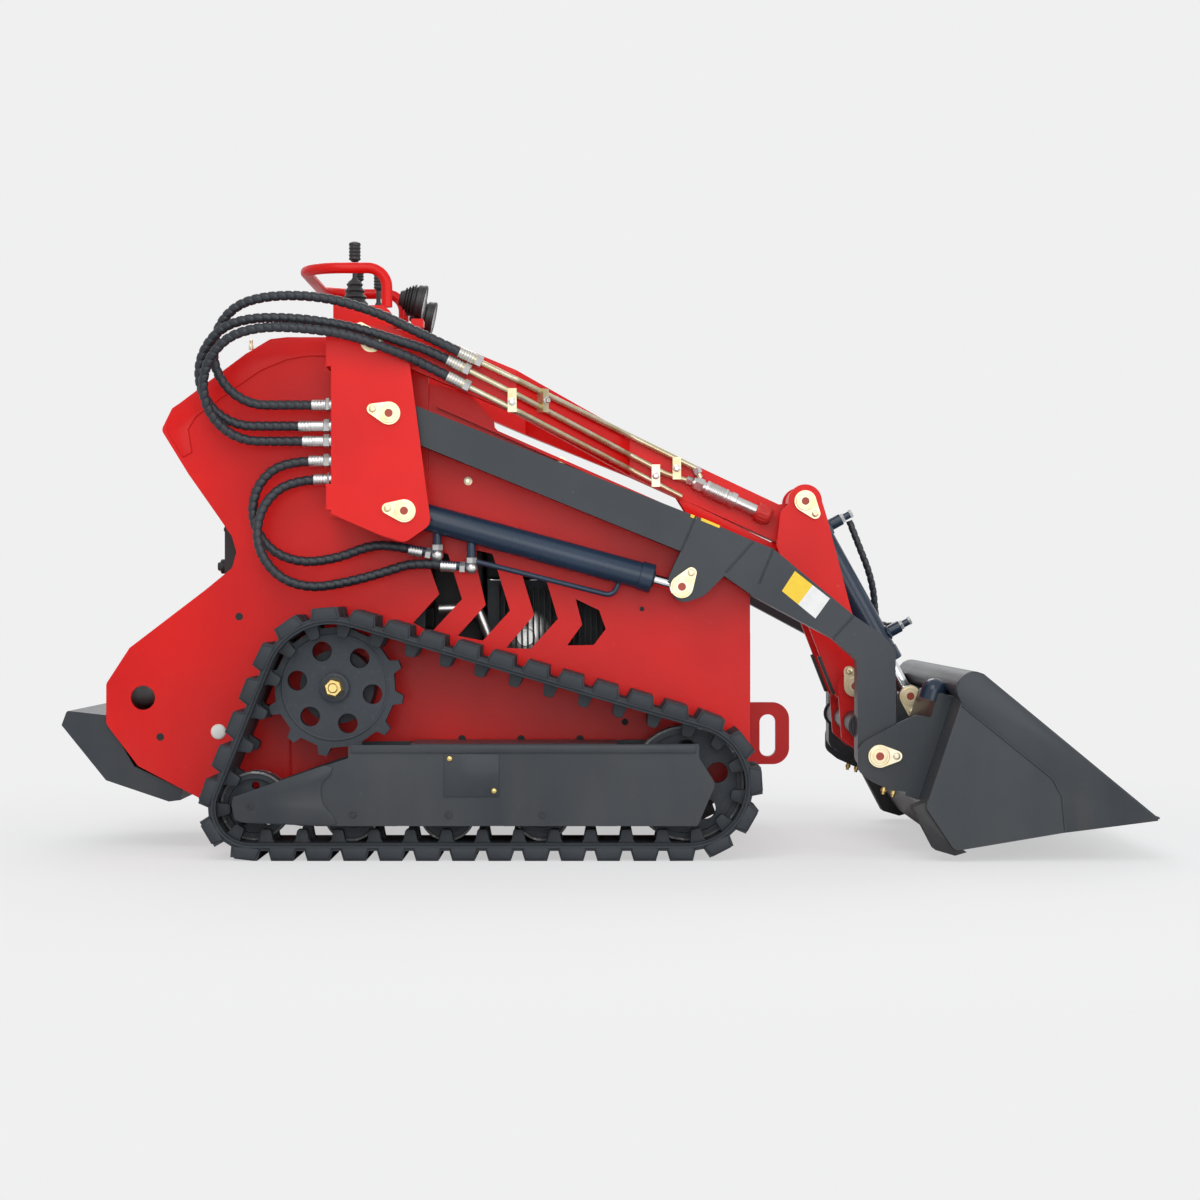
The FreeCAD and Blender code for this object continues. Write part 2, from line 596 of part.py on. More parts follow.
arm = arm.cut([slab(arm_inside, -ARM_OUT + ARM_WALL, -ARM_IN - ARM_WALL), eye_slot,
               disc(BOOM_PIN, PIN_R + PIN_GAP, -TOWER_OUT - 1, -HULL_FACE + 1),
               disc(BUCKET_PIN, PIN_R + PIN_GAP, -ARM_OUT - 1, -ARM_IN + 1)])
cross = disc(CROSS_TUBE_AT, CROSS_TUBE_R, -ARM_IN - 1, ARM_IN + 1)
save("boom", [arm.fuse([mirrored(arm), cross])])

bracket_outline = [(512, 345, 20), (548, 372, 34), (590, 345, 30), (590, 240, 20), (560, 190, 10),
                   (520, 225, 10)]
bracket = slab(bracket_outline, -BRACKET_OUT, -BRACKET_IN)
bracket = bracket.cut([disc(CROSS_TUBE_AT, CROSS_TUBE_R, -ARM_IN, 0), disc(CRANK_PIN, PIN_R, -ARM_IN, 0)])
save("boom_bracket", both(bracket))
save("crank_pin", [disc(CRANK_PIN, PIN_R, -BRACKET_OUT, BRACKET_OUT)])
lift_retainer = retainer(LIFT_EYE_PIN, 56, -ARM_OUT)
crank_retainer = retainer(CRANK_PIN, 112, -BRACKET_OUT)
save("boom_retainers", both(lift_retainer) + both(crank_retainer))

# ==== upper link ====
# Two legs run in the tower channels, taper inwards and meet in a narrow nose
# between the crank plates.
LEG_END = -165
NOSE_START = 70
LINK_HUB_R = 30
LINK_TIP_R = 32


def link_side(x, inset):
    """Top and bottom of the link at x, less a wall's thickness."""
    slope = -0.473
    top = 987 + slope * (x + 167)
    return (top - 89 + inset, top - inset)


def link_solid(inset):
    low_end, top_end = link_side(LEG_END, inset)
    low_nose, top_nose = link_side(NOSE_START, inset)
    leg = slab([(-455, 1071 - inset), (-350, 1063 - inset, 60), (LEG_END, top_end), (LEG_END, low_end),
                (-380, 989 + inset, 60), (-455, 1011 + inset)], -LINK_LEG_OUT + inset, -LINK_LEG_IN - inset)
    nose = slab([(NOSE_START, top_nose), (391 - inset, 724 - inset), (444 - inset * 7, 729 - inset),
                 (440 - inset * 7, 697), (395 - inset, 640 + inset * 1.5, 12), (NOSE_START, low_nose)],
                -LINK_NOSE_HALF + inset, LINK_NOSE_HALF - inset)
    rear = Part.makePolygon([V(LEG_END, y, z) for y, z in (
        (-LINK_LEG_OUT + inset, low_end), (-LINK_LEG_IN - inset, low_end), (-LINK_LEG_IN - inset, top_end),
        (-LINK_LEG_OUT + inset, top_end), (-LINK_LEG_OUT + inset, low_end))])
    front = Part.makePolygon([V(NOSE_START, y, z) for y, z in (
        (-LINK_NOSE_HALF + inset, low_nose), (0, low_nose), (0, top_nose),
        (-LINK_NOSE_HALF + inset, top_nose), (-LINK_NOSE_HALF + inset, low_nose))])
    taper = Part.makeLoft([rear, front], True, True)
    return nose.fuse([leg, mirrored(leg), taper, mirrored(taper)])


hub = disc(UPPER_PIN, LINK_HUB_R, -TOWER_IN + SIDE_GAP, -INNER_TOWER_OUT - SIDE_GAP)
link = link_solid(0).cut(link_solid(LINK_WALL))
link = link.fuse([hub, mirrored(hub), disc(CRANK_TOP_PIN, LINK_TIP_R, -LINK_NOSE_HALF, LINK_NOSE_HALF)])
link = link.cut(disc(UPPER_PIN, PIN_R + PIN_GAP, -TOWER_OUT, TOWER_OUT)).removeSplitter()
save("upper_beam", [link])

# Three steel pipes on the link's right side carry oil to the auxiliary coupler.
PIPE_R = 6
PIPE_OFF = 12
leg_y = -LINK_LEG_OUT - PIPE_OFF
nose_y = -LINK_NOSE_HALF - PIPE_OFF
crimp_y = leg_y - 12
CRIMP_R = 11
CRIMP_L = 46
pipe_lines = [
    [(-276, crimp_y, 1019), (LEG_END, leg_y, 966), (NOSE_START, nose_y, 871), (212, nose_y, 801),
     (222, nose_y, 780)],
    [(-300, crimp_y, 1003), (LEG_END, leg_y, 936), (NOSE_START, nose_y, 830), (146, nose_y, 790),
     (206, nose_y, 771)],
    [(-300, crimp_y, 970), (LEG_END, leg_y, 903), (NOSE_START, nose_y, 799), (182, nose_y, 740)],
]
pipes = []
for line in pipe_lines:
    pipe = tube(line, PIPE_R, 0.1)[0]
    start = V(*line[0])
    heading = (V(*line[1]) - start).normalize()
    crimp = Part.makeCylinder(CRIMP_R, CRIMP_L, start, heading)
    pipes.append(pipe.fuse(crimp))
save("beam_pipes", pipes)
clamps = []
taper_turn = math.degrees(math.atan2(leg_y - nose_y, LEG_END - NOSE_START)) + 180
taper_y = leg_y + (nose_y - leg_y) * (-112 - LEG_END) / (NOSE_START - LEG_END)
for at, heading in (((-172, leg_y, 923), 0), ((-112, taper_y, 928), taper_turn),
                    ((126, nose_y, 785), 0), ((171, nose_y, 801), 0)):
    clamp = block(-9, 9, -PIPE_R - 3, PIPE_OFF, -24, 24)
    clamp.rotate(V(0, 0, 0), V(0, 0, 1), heading)
    clamp.translate(V(*at))
    clamps.append(clamp.cut(pipes + [link]))
save("pipe_clamps", clamps)
COUPLER_R = 13
coupler_y = -LINK_NOSE_HALF - COUPLER_R - SEAT
quick = rod((206, coupler_y, 771), (371, coupler_y, 696), COUPLER_R)
save("quick_coupler", [quick.cut(pipes)])

# ==== crank ====
crank_plate = slab([(409, 723), (391, 705), (383, 634), (449, 467), (507, 317), (520, 303), (588, 320),
                    (590, 345), (541, 501), (490, 696), (480, 729)], -CRANK_OUT, -CRANK_IN)
crank_plate = crank_plate.fuse([disc(CRANK_TOP_PIN, 36, -CRANK_OUT, -CRANK_IN),
                                disc(CRANK_PIN, 42, -CRANK_OUT, -CRANK_IN)]).removeSplitter()
crank_plate = crank_plate.cut(disc(CRANK_PIN, PIN_R + PIN_GAP, -ARM_IN, 0))
tie = block(424, 462, -CRANK_IN - 1, CRANK_IN + 1, 556, 568)
save("crank", [crank_plate.fuse([mirrored(crank_plate), tie])])
save("crank_retainers", both(retainer(CRANK_TOP_PIN, -52, -CRANK_OUT)))

# ==== lift cylinders ====
LIFT_BARREL_R = 28
LIFT_ROD_R = 11
LIFT_HUB_R = 27
LIFT_BARREL_END = 520
LIFT_BORE_FROM = 200
LIFT_SPAN = math.hypot(LIFT_EYE_PIN[0] - LIFT_BASE_PIN[0], LIFT_EYE_PIN[1] - LIFT_BASE_PIN[1])


def lift_bar(near, far, radius):
    return on_axis(LIFT_BASE_PIN, LIFT_EYE_PIN, near, far, radius, -ARM_MID)


LIFT_HUB_HALF = ARM_W / 2 - EYE_WALL
barrel = lift_bar(20, LIFT_BARREL_END, LIFT_BARREL_R)
barrel = barrel.cut(disc(LIFT_BASE_PIN, LIFT_HUB_R - 1, -TOWER_OUT, 0))
barrel = barrel.fuse(ring(LIFT_BASE_PIN, LIFT_HUB_R, PIN_R + PIN_GAP, -ARM_MID - LIFT_HUB_HALF,
                          -ARM_MID + LIFT_HUB_HALF))
barrel = barrel.cut(lift_bar(LIFT_BORE_FROM, LIFT_BARREL_END + 10, LIFT_ROD_R + PIN_GAP))
ports = [
    rod((-327, -ARM_MID, 665), (-327, -ARM_MID, 608), 9),
    rod((-327, -ARM_MID, 612), (-386, -ARM_MID, 623), 9),
    rod((-257, -ARM_MID, 645), (-257, -ARM_MID, 578), 9),
    rod((-257, -ARM_MID, 585.5), (-320, -ARM_MID, 590), 9),
    tube([(-262, -ARM_MID, 600), (-240, -ARM_MID, 595), (33, -ARM_MID, 526), (47, -ARM_MID, 560)], 5.5)[0],
]
barrel = barrel.fuse(ports)
piston_rod = lift_bar(LIFT_BORE_FROM + 15, LIFT_SPAN - 15, LIFT_ROD_R)
piston_rod = piston_rod.fuse(disc(LIFT_EYE_PIN, 24, -ARM_MID - EYE_HALF, -ARM_MID + EYE_HALF))
save("lift_barrel_right", [barrel])
save("lift_barrel_left", [mirrored(barrel)])
save("lift_rod_right", [piston_rod])
save("lift_rod_left", [mirrored(piston_rod)])

# ==== tilt cylinder ====
# The barrel hangs by two cheeks from the crank's top pin; the piston inside it
# travels with the boom and the rod with the bucket.
TILT_BARREL_R = 29
TILT_BORE_R = 23
TILT_ROD_R = 15
TILT_BARREL_FROM = 62
TILT_BARREL_END = 395
GLAND = 45
BORE_FROM = 98
ROD_INNER_END = 184
PISTON_AT = 192
PISTON_L = 24
TILT_CHEEK_IN = 50
TILT_SPAN = math.hypot(TILT_EYE_PIN[0] - CRANK_TOP_PIN[0], TILT_EYE_PIN[1] - CRANK_TOP_PIN[1])


def tilt_bar(near, far, radius):
    return on_axis(CRANK_TOP_PIN, TILT_EYE_PIN, near, far, radius)


corners = [along(CRANK_TOP_PIN, TILT_EYE_PIN, d, o) for d, o in ((90, 24), (90, -24), (0, -24), (0, 24))]
cheek = slab(corners, -CRANK_IN + SIDE_GAP, -TILT_CHEEK_IN)
cheek = cheek.fuse(disc(CRANK_TOP_PIN, 24, -CRANK_IN + SIDE_GAP, -TILT_CHEEK_IN))
corners = [along(CRANK_TOP_PIN, TILT_EYE_PIN, d, o) for d, o in ((90, 24), (90, -24), (62, -24), (62, 24))]
base = slab(corners, -TILT_CHEEK_IN - 1, TILT_CHEEK_IN + 1)
tilt_barrel = tilt_bar(TILT_BARREL_FROM, TILT_BARREL_END, TILT_BARREL_R).fuse([cheek, mirrored(cheek), base])
tilt_bore = tilt_bar(BORE_FROM, TILT_BARREL_END - GLAND, TILT_BORE_R)
gland_bore = tilt_bar(TILT_BARREL_END - GLAND - 1, TILT_BARREL_END + 1, TILT_ROD_R + PIN_GAP)
tilt_barrel = tilt_barrel.cut([tilt_bore, gland_bore])
PORT_R = 13
PORTS = (72, 337)
PORT_OUT = 58
BANJO_R = 8
BANJO_OUT = 84
TILT_HOSE_R = 7.5
TILT_FITTING_R = 10
TILT_FITTING_LONG = 20
TILT_STEM_R = 7
TILT_STEM_IN = 26


def beside_tilt(s, off, y):
    """Point by its distance along the barrel, in front of its axis, and across."""
    x, z = along(CRANK_TOP_PIN, TILT_EYE_PIN, s, off)
    return (x, y, z)


for s in PORTS:
    boss = rod(beside_tilt(s, 20, 0), beside_tilt(s, PORT_OUT, 0), PORT_R)
    banjo = rod(beside_tilt(s, PORT_OUT - 1, 0), beside_tilt(s, BANJO_OUT, 0), BANJO_R)
    tilt_barrel = tilt_barrel.fuse([boss, banjo])
tilt_routes = {
    "tilt_hose_upper": [(84, 72, 0), (112, 68, 0), (152, 63, 2), (196, 58, 8), (240, 48, 20), (280, 32, 34),
                        (318, 17, 41), (345, 12, 41)],
    "tilt_hose_lower": [(337, 72, 9), (341, 66, 66), (324, 32, 104), (280, 10, 118), (230, 0, 106)],
}
for route in tilt_routes.values():
    end = V(*beside_tilt(*route[-1]))
    ahead = end - V(*beside_tilt(*route[-2]))
    ahead.normalize()
    middle = end + ahead * (TILT_FITTING_LONG / 2)
    s, off, y = route[-1]
    s += TILT_FITTING_LONG / 2 if ahead.z < 0 else -TILT_FITTING_LONG / 2
    inward = TILT_STEM_IN / math.hypot(off, y)
    stem = rod(beside_tilt(s, off * inward, y * inward), tuple(middle), TILT_STEM_R)
    fitting = Part.makeCylinder(TILT_FITTING_R, TILT_FITTING_LONG, end + ahead * SEAT, ahead)
    tilt_barrel = tilt_barrel.fuse([fitting, stem])
save("tilt_barrel", [tilt_barrel])
for node, route in tilt_routes.items():
    solid, tightest = tube([beside_tilt(*p) for p in route], TILT_HOSE_R)
    print("%s: least bend %.0f mm, %.1f diameters" % (node, tightest, tightest / (2 * TILT_HOSE_R)))
    save(node, [solid])
piston = tilt_bar(PISTON_AT, PISTON_AT + PISTON_L, TILT_BORE_R - PIN_GAP)
piston = piston.cut(tilt_bar(PISTON_AT - 1, PISTON_AT + PISTON_L + 1, TILT_ROD_R + PIN_GAP))
save("tilt_piston_head", [piston])
tilt_rod = tilt_bar(ROD_INNER_END, TILT_SPAN - 10, TILT_ROD_R).fuse(disc(TILT_EYE_PIN, 22, -26, 26))
save("tilt_rod", [tilt_rod])

# ==== quick-attach plate and bucket ====
EAR_GAP = 4
EAR_T = 10
EAR_OUT_FACE = ARM_OUT + EAR_GAP + EAR_T
EAR_IN_FACE = ARM_IN - EAR_GAP - EAR_T
attach_section = [(692.5, 332, 8), (721, 322, 4), (651, 113, 4), (622.5, 123, 4)]
attach = slab(attach_section, -EAR_OUT_FACE - 1, EAR_OUT_FACE + 1)
attach = attach.cut(block(640, 740, -62, 62, 225, 345))
ear_points = [(604, 266, 24), (646, 286, 14), (676, 280), (626, 130), (596, 132, 8), (556, 150, 20),
              (528, 172, 24), (528, 226, 36)]
ear_out = slab(ear_points, -EAR_OUT_FACE, -EAR_OUT_FACE + EAR_T)
ear_in = disc(BUCKET_PIN, 28, -EAR_IN_FACE - EAR_T, -EAR_IN_FACE)
ear_arm = [(572, 174), (572, 230), (650, 228), (630, 150)]
ear_in = ear_in.fuse(slab(ear_arm, -EAR_IN_FACE - EAR_T, -EAR_IN_FACE))
TILT_LUG_OUT = TILT_LUG_IN + TILT_LUG_T
tilt_lug = slab([(674, 337, 26), (701, 318, 20), (690, 250), (646, 200), (640, 220), (648, 318, 22)],
                -TILT_LUG_OUT, -TILT_LUG_IN)
hinge_stub = disc(BUCKET_PIN, PIN_R, -EAR_OUT_FACE, -EAR_IN_FACE)
attach = attach.fuse(both(ear_out) + both(ear_in) + both(tilt_lug) + both(hinge_stub))
save("quick_attach", [attach.removeSplitter()])
bucket_retainer = retainer(BUCKET_PIN, 0, -EAR_OUT_FACE)
tilt_retainer = retainer(TILT_EYE_PIN, -83, -TILT_LUG_OUT)
save("attach_retainers", both(bucket_retainer) + both(tilt_retainer))

BUCKET_WALL = 6
BUCKET_ROOM_HALF = BUCKET_HALF - BUCKET_WALL
shell_outline = [(735, 382, 30), (764, 372), (1108, 88), (1108, 82), (969, 64), (921, 58), (707, 22, 16),
                 (649.7, 108, 10), (721.7, 323), (702, 345, 20)]
room_outline = [(738, 372, 26), (1125, 93), (969, 72), (921, 66), (710, 31, 12), (660, 110, 8),
                (732, 324), (712, 345, 14)]
bucket_outer = slab(shell_outline, -BUCKET_HALF, BUCKET_HALF)
bucket_inner = slab(room_outline, -BUCKET_ROOM_HALF, BUCKET_ROOM_HALF)
bucket_mouth = slab([(772, 373), (1200, 420), (1200, 90), (1108, 90), (1100, 96)],
                    -BUCKET_ROOM_HALF, BUCKET_ROOM_HALF)
save("bucket", [bucket_outer.cut([bucket_inner, bucket_mouth])])

# ==== hoses ====
# Five hoses leave crimped fittings on the tower's bulkhead: three loop back and
# over to the upper link's pipes, two loop down to the lift cylinder's ports.
HOSE_R = 10
FITTING_R = 11
hoses = {
    "aux_hose_upper": [
        (-557, -330, 916), (-635, -330, 916), (-714, -332, 916), (-773, -342, 967),
        (-784, -358, 1043), (-742, -376, 1110), (-667, -392, 1133), (-553, -402, 1130),
        (-444, -404, 1098), (-375, -400, 1064), (-316, -378.32, 1038.1),
        (-276.3, -374.03, 1019.14),
    ],
    "aux_hose_middle": [
        (-584, -330, 873), (-661, -330, 873), (-742, -334, 873), (-801, -346, 922),
        (-812, -364, 998), (-769, -386, 1064), (-700, -402, 1087), (-601, -410, 1085),
        (-506, -412, 1070), (-442, -411, 1053), (-386, -405, 1035.5), (-340.2, -377.57, 1022.95),
        (-300.3, -374.03, 1003.15),
    ],
    "aux_hose_lower": [
        (-576, -330, 842), (-651, -330, 842), (-730, -342, 842), (-790, -364, 893),
        (-800, -389, 972), (-756, -410, 1041), (-683, -424, 1066), (-586, -431, 1063),
        (-494, -431, 1048), (-440, -424, 1029), (-386, -406, 1010), (-340.2, -377.57, 989.95),
        (-300.3, -374.03, 970.15),
    ],
    "lift_hose_upper": [
        (-563, -330, 802), (-639, -330, 802), (-695, -330, 755), (-707, -330, 683),
        (-671, -330, 620), (-606, -331, 593), (-530, -330, 603), (-478, -328, 624),
        (-436, -325, 632.3), (-386.3, -325, 623.05),
    ],
    "lift_hose_lower": [
        (-553, -330, 764), (-625, -330, 764), (-683, -344, 713), (-695, -358, 635),
        (-655, -360, 567), (-586, -354, 541), (-503, -344, 555), (-426, -333, 577),
        (-378, -325, 594.14), (-320.3, -325, 590.02),
    ],
}
for node, route in hoses.items():
    solid, tightest = tube(route, HOSE_R)
    print("%s: least bend %.0f mm, %.1f diameters" % (node, tightest, tightest / (2 * HOSE_R)))
    save(node, [solid])
fittings = []
for route in hoses.values():
    x, y, z = route[0]
    fittings.append(rod((BULKHEAD_X, y, z), (x, y, z), FITTING_R))
save("hose_fittings", fittings)
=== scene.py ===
import json
import math

import bmesh
import bpy
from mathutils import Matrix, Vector


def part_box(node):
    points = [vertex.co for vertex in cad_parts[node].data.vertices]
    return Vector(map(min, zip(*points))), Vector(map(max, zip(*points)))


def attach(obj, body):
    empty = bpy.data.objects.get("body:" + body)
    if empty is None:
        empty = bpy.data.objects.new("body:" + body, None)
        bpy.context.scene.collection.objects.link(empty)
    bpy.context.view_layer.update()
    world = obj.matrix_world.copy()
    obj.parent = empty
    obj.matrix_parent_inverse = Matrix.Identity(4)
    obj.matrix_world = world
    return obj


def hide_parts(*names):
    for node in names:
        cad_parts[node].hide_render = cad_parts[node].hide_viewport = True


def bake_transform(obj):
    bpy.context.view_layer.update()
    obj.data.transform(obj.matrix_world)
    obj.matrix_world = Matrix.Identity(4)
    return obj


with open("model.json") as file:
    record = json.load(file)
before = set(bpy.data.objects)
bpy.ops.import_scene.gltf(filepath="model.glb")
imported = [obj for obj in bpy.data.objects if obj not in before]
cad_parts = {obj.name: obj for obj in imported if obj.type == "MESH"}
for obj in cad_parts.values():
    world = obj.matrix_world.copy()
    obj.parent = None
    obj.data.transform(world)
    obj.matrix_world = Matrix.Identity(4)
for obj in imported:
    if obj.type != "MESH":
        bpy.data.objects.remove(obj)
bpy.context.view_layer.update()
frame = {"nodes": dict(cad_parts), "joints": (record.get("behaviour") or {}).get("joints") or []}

nodes = frame["nodes"]
pivots = {joint["name"]: Vector(joint["pos_m"]) for joint in frame["joints"] if "pos_m" in joint}

# ==== Studio ====
# A pale floor and backdrop, with one high and one low broad lamp on the
# machine's right, one ahead of the bucket and one high on the left. The camera
# looks straight at the right side, from just under the lift cylinders' eyes.
scene = bpy.context.scene
scene.view_settings.view_transform = "Standard"


class Signal:
    """A value that varies over a surface, so shader maths reads as sums."""

    def __init__(self, finish, socket):
        self.finish = finish
        self.socket = socket

    def maths(self, operation, *values):
        return self.finish.node("ShaderNodeMath", {"operation": operation}, dict(enumerate(values)))

    def __add__(self, other):
        return self.maths("ADD", self, other)

    def __radd__(self, other):
        return self.maths("ADD", other, self)

    def __sub__(self, other):
        return self.maths("SUBTRACT", self, other)

    def __rsub__(self, other):
        return self.maths("SUBTRACT", other, self)

    def __mul__(self, other):
        return self.maths("MULTIPLY", self, other)

    def __rmul__(self, other):
        return self.maths("MULTIPLY", other, self)

    def between(self, low, high):
        """0 where the value is at or under low, 1 at or over high."""
        return self.finish.node("ShaderNodeMapRange", {}, {"Value": self, "From Min": low, "From Max": high})


class Finish:
    """A material being made: adds nodes, joins them and feeds the shader."""

    def __init__(self, name, owner=None):
        self.material = owner or bpy.data.materials.new(name)
        self.material.use_nodes = True
        self.tree = self.material.node_tree
        self.shader = self.tree.nodes.get("Principled BSDF")

    def node(self, kind, settings, values, output=0):
        made = self.tree.nodes.new(kind)
        for key, value in settings.items():
            setattr(made, key, value)
        for key, value in values.items():
            self.feed(made.inputs[key], value)
        return Signal(self, made.outputs[output])

    def feed(self, socket, value):
        if isinstance(value, Signal):
            self.tree.links.new(value.socket, socket)
        else:
            socket.default_value = value

    def surface(self, values):
        for key, value in values.items():
            self.feed(self.shader.inputs[key], value)

    def place(self, stretch):
        """Object coordinates, drawn out by a stretch in each direction."""
        where = self.node("ShaderNodeTexCoord", {}, {}, "Object")
        return self.node("ShaderNodeMapping", {}, {"Vector": where, "Scale": stretch})

    def height_above_ground(self):
        where = self.node("ShaderNodeTexCoord", {}, {}, "Object")
        return self.node("ShaderNodeSeparateXYZ", {}, {"Vector": where}, "Z")

    def noise(self, scale, detail=4.0, stretch=(1, 1, 1)):
        values = {"Vector": self.place(stretch), "Scale": scale, "Detail": detail}
        return self.node("ShaderNodeTexNoise", {}, values)

    def mix(self, share, first, second):
        """Colour that goes from first to second with a share from 0 to 1."""
        return self.node("ShaderNodeMix", {"data_type": "RGBA"}, {0: share, 6: first, 7: second}, 2)

    def grain(self, height, depth, strength):
        """Relief whose full height is that many metres."""
        return self.node("ShaderNodeBump", {}, {"Height": height, "Distance": depth, "Strength": strength})


BACKDROP = (0.871, 0.871, 0.875, 1)
scene.world = bpy.data.worlds.new("studio_air")
air = Finish("studio_air", scene.world)
direct = air.node("ShaderNodeLightPath", {}, {}, "Is Camera Ray")
glossy = air.node("ShaderNodeLightPath", {}, {}, "Is Glossy Ray")
through = air.node("ShaderNodeLightPath", {}, {}, "Is Transmission Ray")
seen = (direct + glossy * 0.85 + through).between(0, 1)
lit = air.node("ShaderNodeBackground", {}, {"Color": (0.95, 0.97, 1.0, 1), "Strength": 0.55})
backdrop = air.node("ShaderNodeBackground", {}, {"Color": BACKDROP, "Strength": 1.0})
blend = air.node("ShaderNodeMixShader", {}, {0: seen, 1: lit, 2: backdrop})
air.tree.links.new(blend.socket, air.tree.nodes["World Output"].inputs[0])

bpy.ops.mesh.primitive_plane_add(size=40, location=(0, 0, 0))
floor = bpy.context.object
floor.name = "studio_floor"
ground = Finish("pale_floor")
speckle = ground.mix(ground.noise(60.0), (0.84, 0.84, 0.845, 1), (0.88, 0.88, 0.885, 1))
ground.surface({"Base Color": speckle, "Roughness": 0.9})
away = ground.node("ShaderNodeVectorMath", {"operation": "LENGTH"}, {0: ground.place((1, 1, 0))}, 1)
direct = ground.node("ShaderNodeLightPath", {}, {}, "Is Camera Ray")
glow = ground.node("ShaderNodeEmission", {}, {"Color": BACKDROP})
faded = ground.node("ShaderNodeMixShader", {}, {0: (away.between(0.9, 2.4) * 0.4 + 0.6) * direct, 2: glow})
ground.tree.links.new(ground.shader.outputs[0], faded.socket.node.inputs[1])
ground.tree.links.new(faded.socket, ground.tree.nodes["Material Output"].inputs[0])
floor.data.materials.append(ground.material)


def added(name, data):
    """A new object of that data, in the scene."""
    made = bpy.data.objects.new(name, data)
    scene.collection.objects.link(made)
    return made


def soft_lamp(name, place, size, power):
    """Square lamp aimed at the middle of the machine."""
    data = bpy.data.lights.new(name, "AREA")
    data.size = size
    data.energy = power
    made = added(name, data)
    made.location = place
    aim = Vector(place) - Vector((0, 0, 0.5))
    made.rotation_euler = aim.to_track_quat("Z", "Y").to_euler()


soft_lamp("key_lamp", (-1.2, -4.6, 4.6), 3.2, 105)
soft_lamp("low_lamp", (0.6, -6.5, 1.3), 4.0, 100)
soft_lamp("front_lamp", (4.2, -3.6, 2.2), 3.0, 60)
soft_lamp("rear_lamp", (-0.5, 4.5, 4.0), 3.2, 100)

eye = bpy.data.cameras.new("camera")
eye.lens = 75.6
eye.sensor_width = 36
camera = added("camera", eye)
camera.location = (0.006, -5.475, 0.518)
camera.rotation_euler = (math.radians(90), 0, 0)
scene.camera = camera

# ==== Hoses ====
# Rubber hoses in a black spiral guard, between the bulkheads at the tail and
# the pipes on the link, the right lift cylinder and the tilt cylinder's ports.
MM = 0.001
HOSE_D = 0.020
TILT_HOSE_D = 0.015
GUARD_PITCH = 0.017
GUARD_RISE = 0.12
HOSE_SIDES = 20
HOSE_STEP = 0.0022


def two_tone(name, scale, dark, bright, rough, drift, metal=0.0, relief=None, detail=4.0):
    """Finish that drifts from a dark to a bright tone and gets rougher by drift.

    A relief is the scale, detail, depth and strength of a fine grain.
    """
    finish = Finish(name)
    mottle = finish.noise(scale, detail)
    finish.surface({"Base Color": finish.mix(mottle, (*dark, 1), (*bright, 1)),
                    "Roughness": mottle * drift + rough, "Metallic": metal})
    if relief:
        fine, fine_detail, depth, strength = relief
        finish.surface({"Normal": finish.grain(finish.noise(fine, fine_detail), depth, strength)})
    return finish


hose_finish = two_tone("spiral_guarded_hose", 55.0, (0.010, 0.013, 0.018), (0.020, 0.025, 0.032),
                       rough=0.34, drift=0.2, relief=(600.0, 2.0, 0.0002, 0.5))


def plain_mesh(holder):
    """The mesh that an object comes to; the object itself is removed."""
    bpy.context.view_layer.update()
    mesh = bpy.data.meshes.new_from_object(holder.evaluated_get(bpy.context.evaluated_depsgraph_get()))
    bpy.data.objects.remove(holder)
    return mesh


def smooth_route(name, points):
    """Points along the NURBS spline whose control points are the route's."""
    line = bpy.data.curves.new(name + "_line", "CURVE")
    line.dimensions = "3D"
    line.resolution_u = 24
    spline = line.splines.new("NURBS")
    spline.points.add(len(points) - 1)
    for spot, point in zip(spline.points, points):
        spot.co = (*point, 1)
    spline.order_u = 3
    spline.use_endpoint_u = True
    mesh = plain_mesh(added(name + "_line", line))
    path = [v.co.copy() for v in mesh.vertices]
    bpy.data.meshes.remove(mesh)
    return path


def run_length(path):
    """Length of a line from point to point."""
    return sum((b - a).length for a, b in zip(path, path[1:]))


def even_steps(path, step):
    """The same path at even steps of length."""
    spans = [(b - a).length for a, b in zip(path, path[1:])]
    count = max(2, round(sum(spans) / step))
    gap = sum(spans) / count
    result = [path[0]]
    done = 0.0
    i = 0
    for k in range(1, count):
        while done + spans[i] < k * gap:
            done += spans[i]
            i += 1
        result.append(path[i].lerp(path[i + 1], (k * gap - done) / spans[i]))
    result.append(path[-1])
    return result


def rim_point(centre, side, up, angle, radius):
    """Point of a circle round a centre, in the plane of two directions."""
    return centre + (side * math.cos(angle) + up * math.sin(angle)) * radius


def skin(bm, rings, hoop=False):
    """Faces from ring to ring, with a cap at each end or the ends joined in a hoop.

    A ring of one corner is a point.
    """
    chain = rings + rings[:1] if hoop else rings
    for near, far in zip(chain, chain[1:]):
        for k in range(max(len(near), len(far))):
            corners = [near[k % len(near)], near[(k + 1) % len(near)],
                       far[(k + 1) % len(far)], far[k % len(far)]]
            bm.faces.new([v for i, v in enumerate(corners) if v not in corners[:i]])
    for cap in (rings[0][::-1], rings[-1]):
        if len(cap) > 1 and not hoop:
            bm.faces.new(cap)


def swept(bm, path, radius_at, sides):
    """Round tube along a path; radius_at(angle, index) gives its section."""
    side = (path[1] - path[0]).normalized().orthogonal().normalized()
    angles = [2 * math.pi * k / sides for k in range(sides)]
    rings = []
    for i, point in enumerate(path):
        ahead = (path[min(i + 1, len(path) - 1)] - path[max(i - 1, 0)]).normalized()
        side = (side - ahead * side.dot(ahead)).normalized()
        up = ahead.cross(side)
        rings.append([bm.verts.new(rim_point(point, side, up, a, radius_at(a, i))) for a in angles])
    skin(bm, rings)


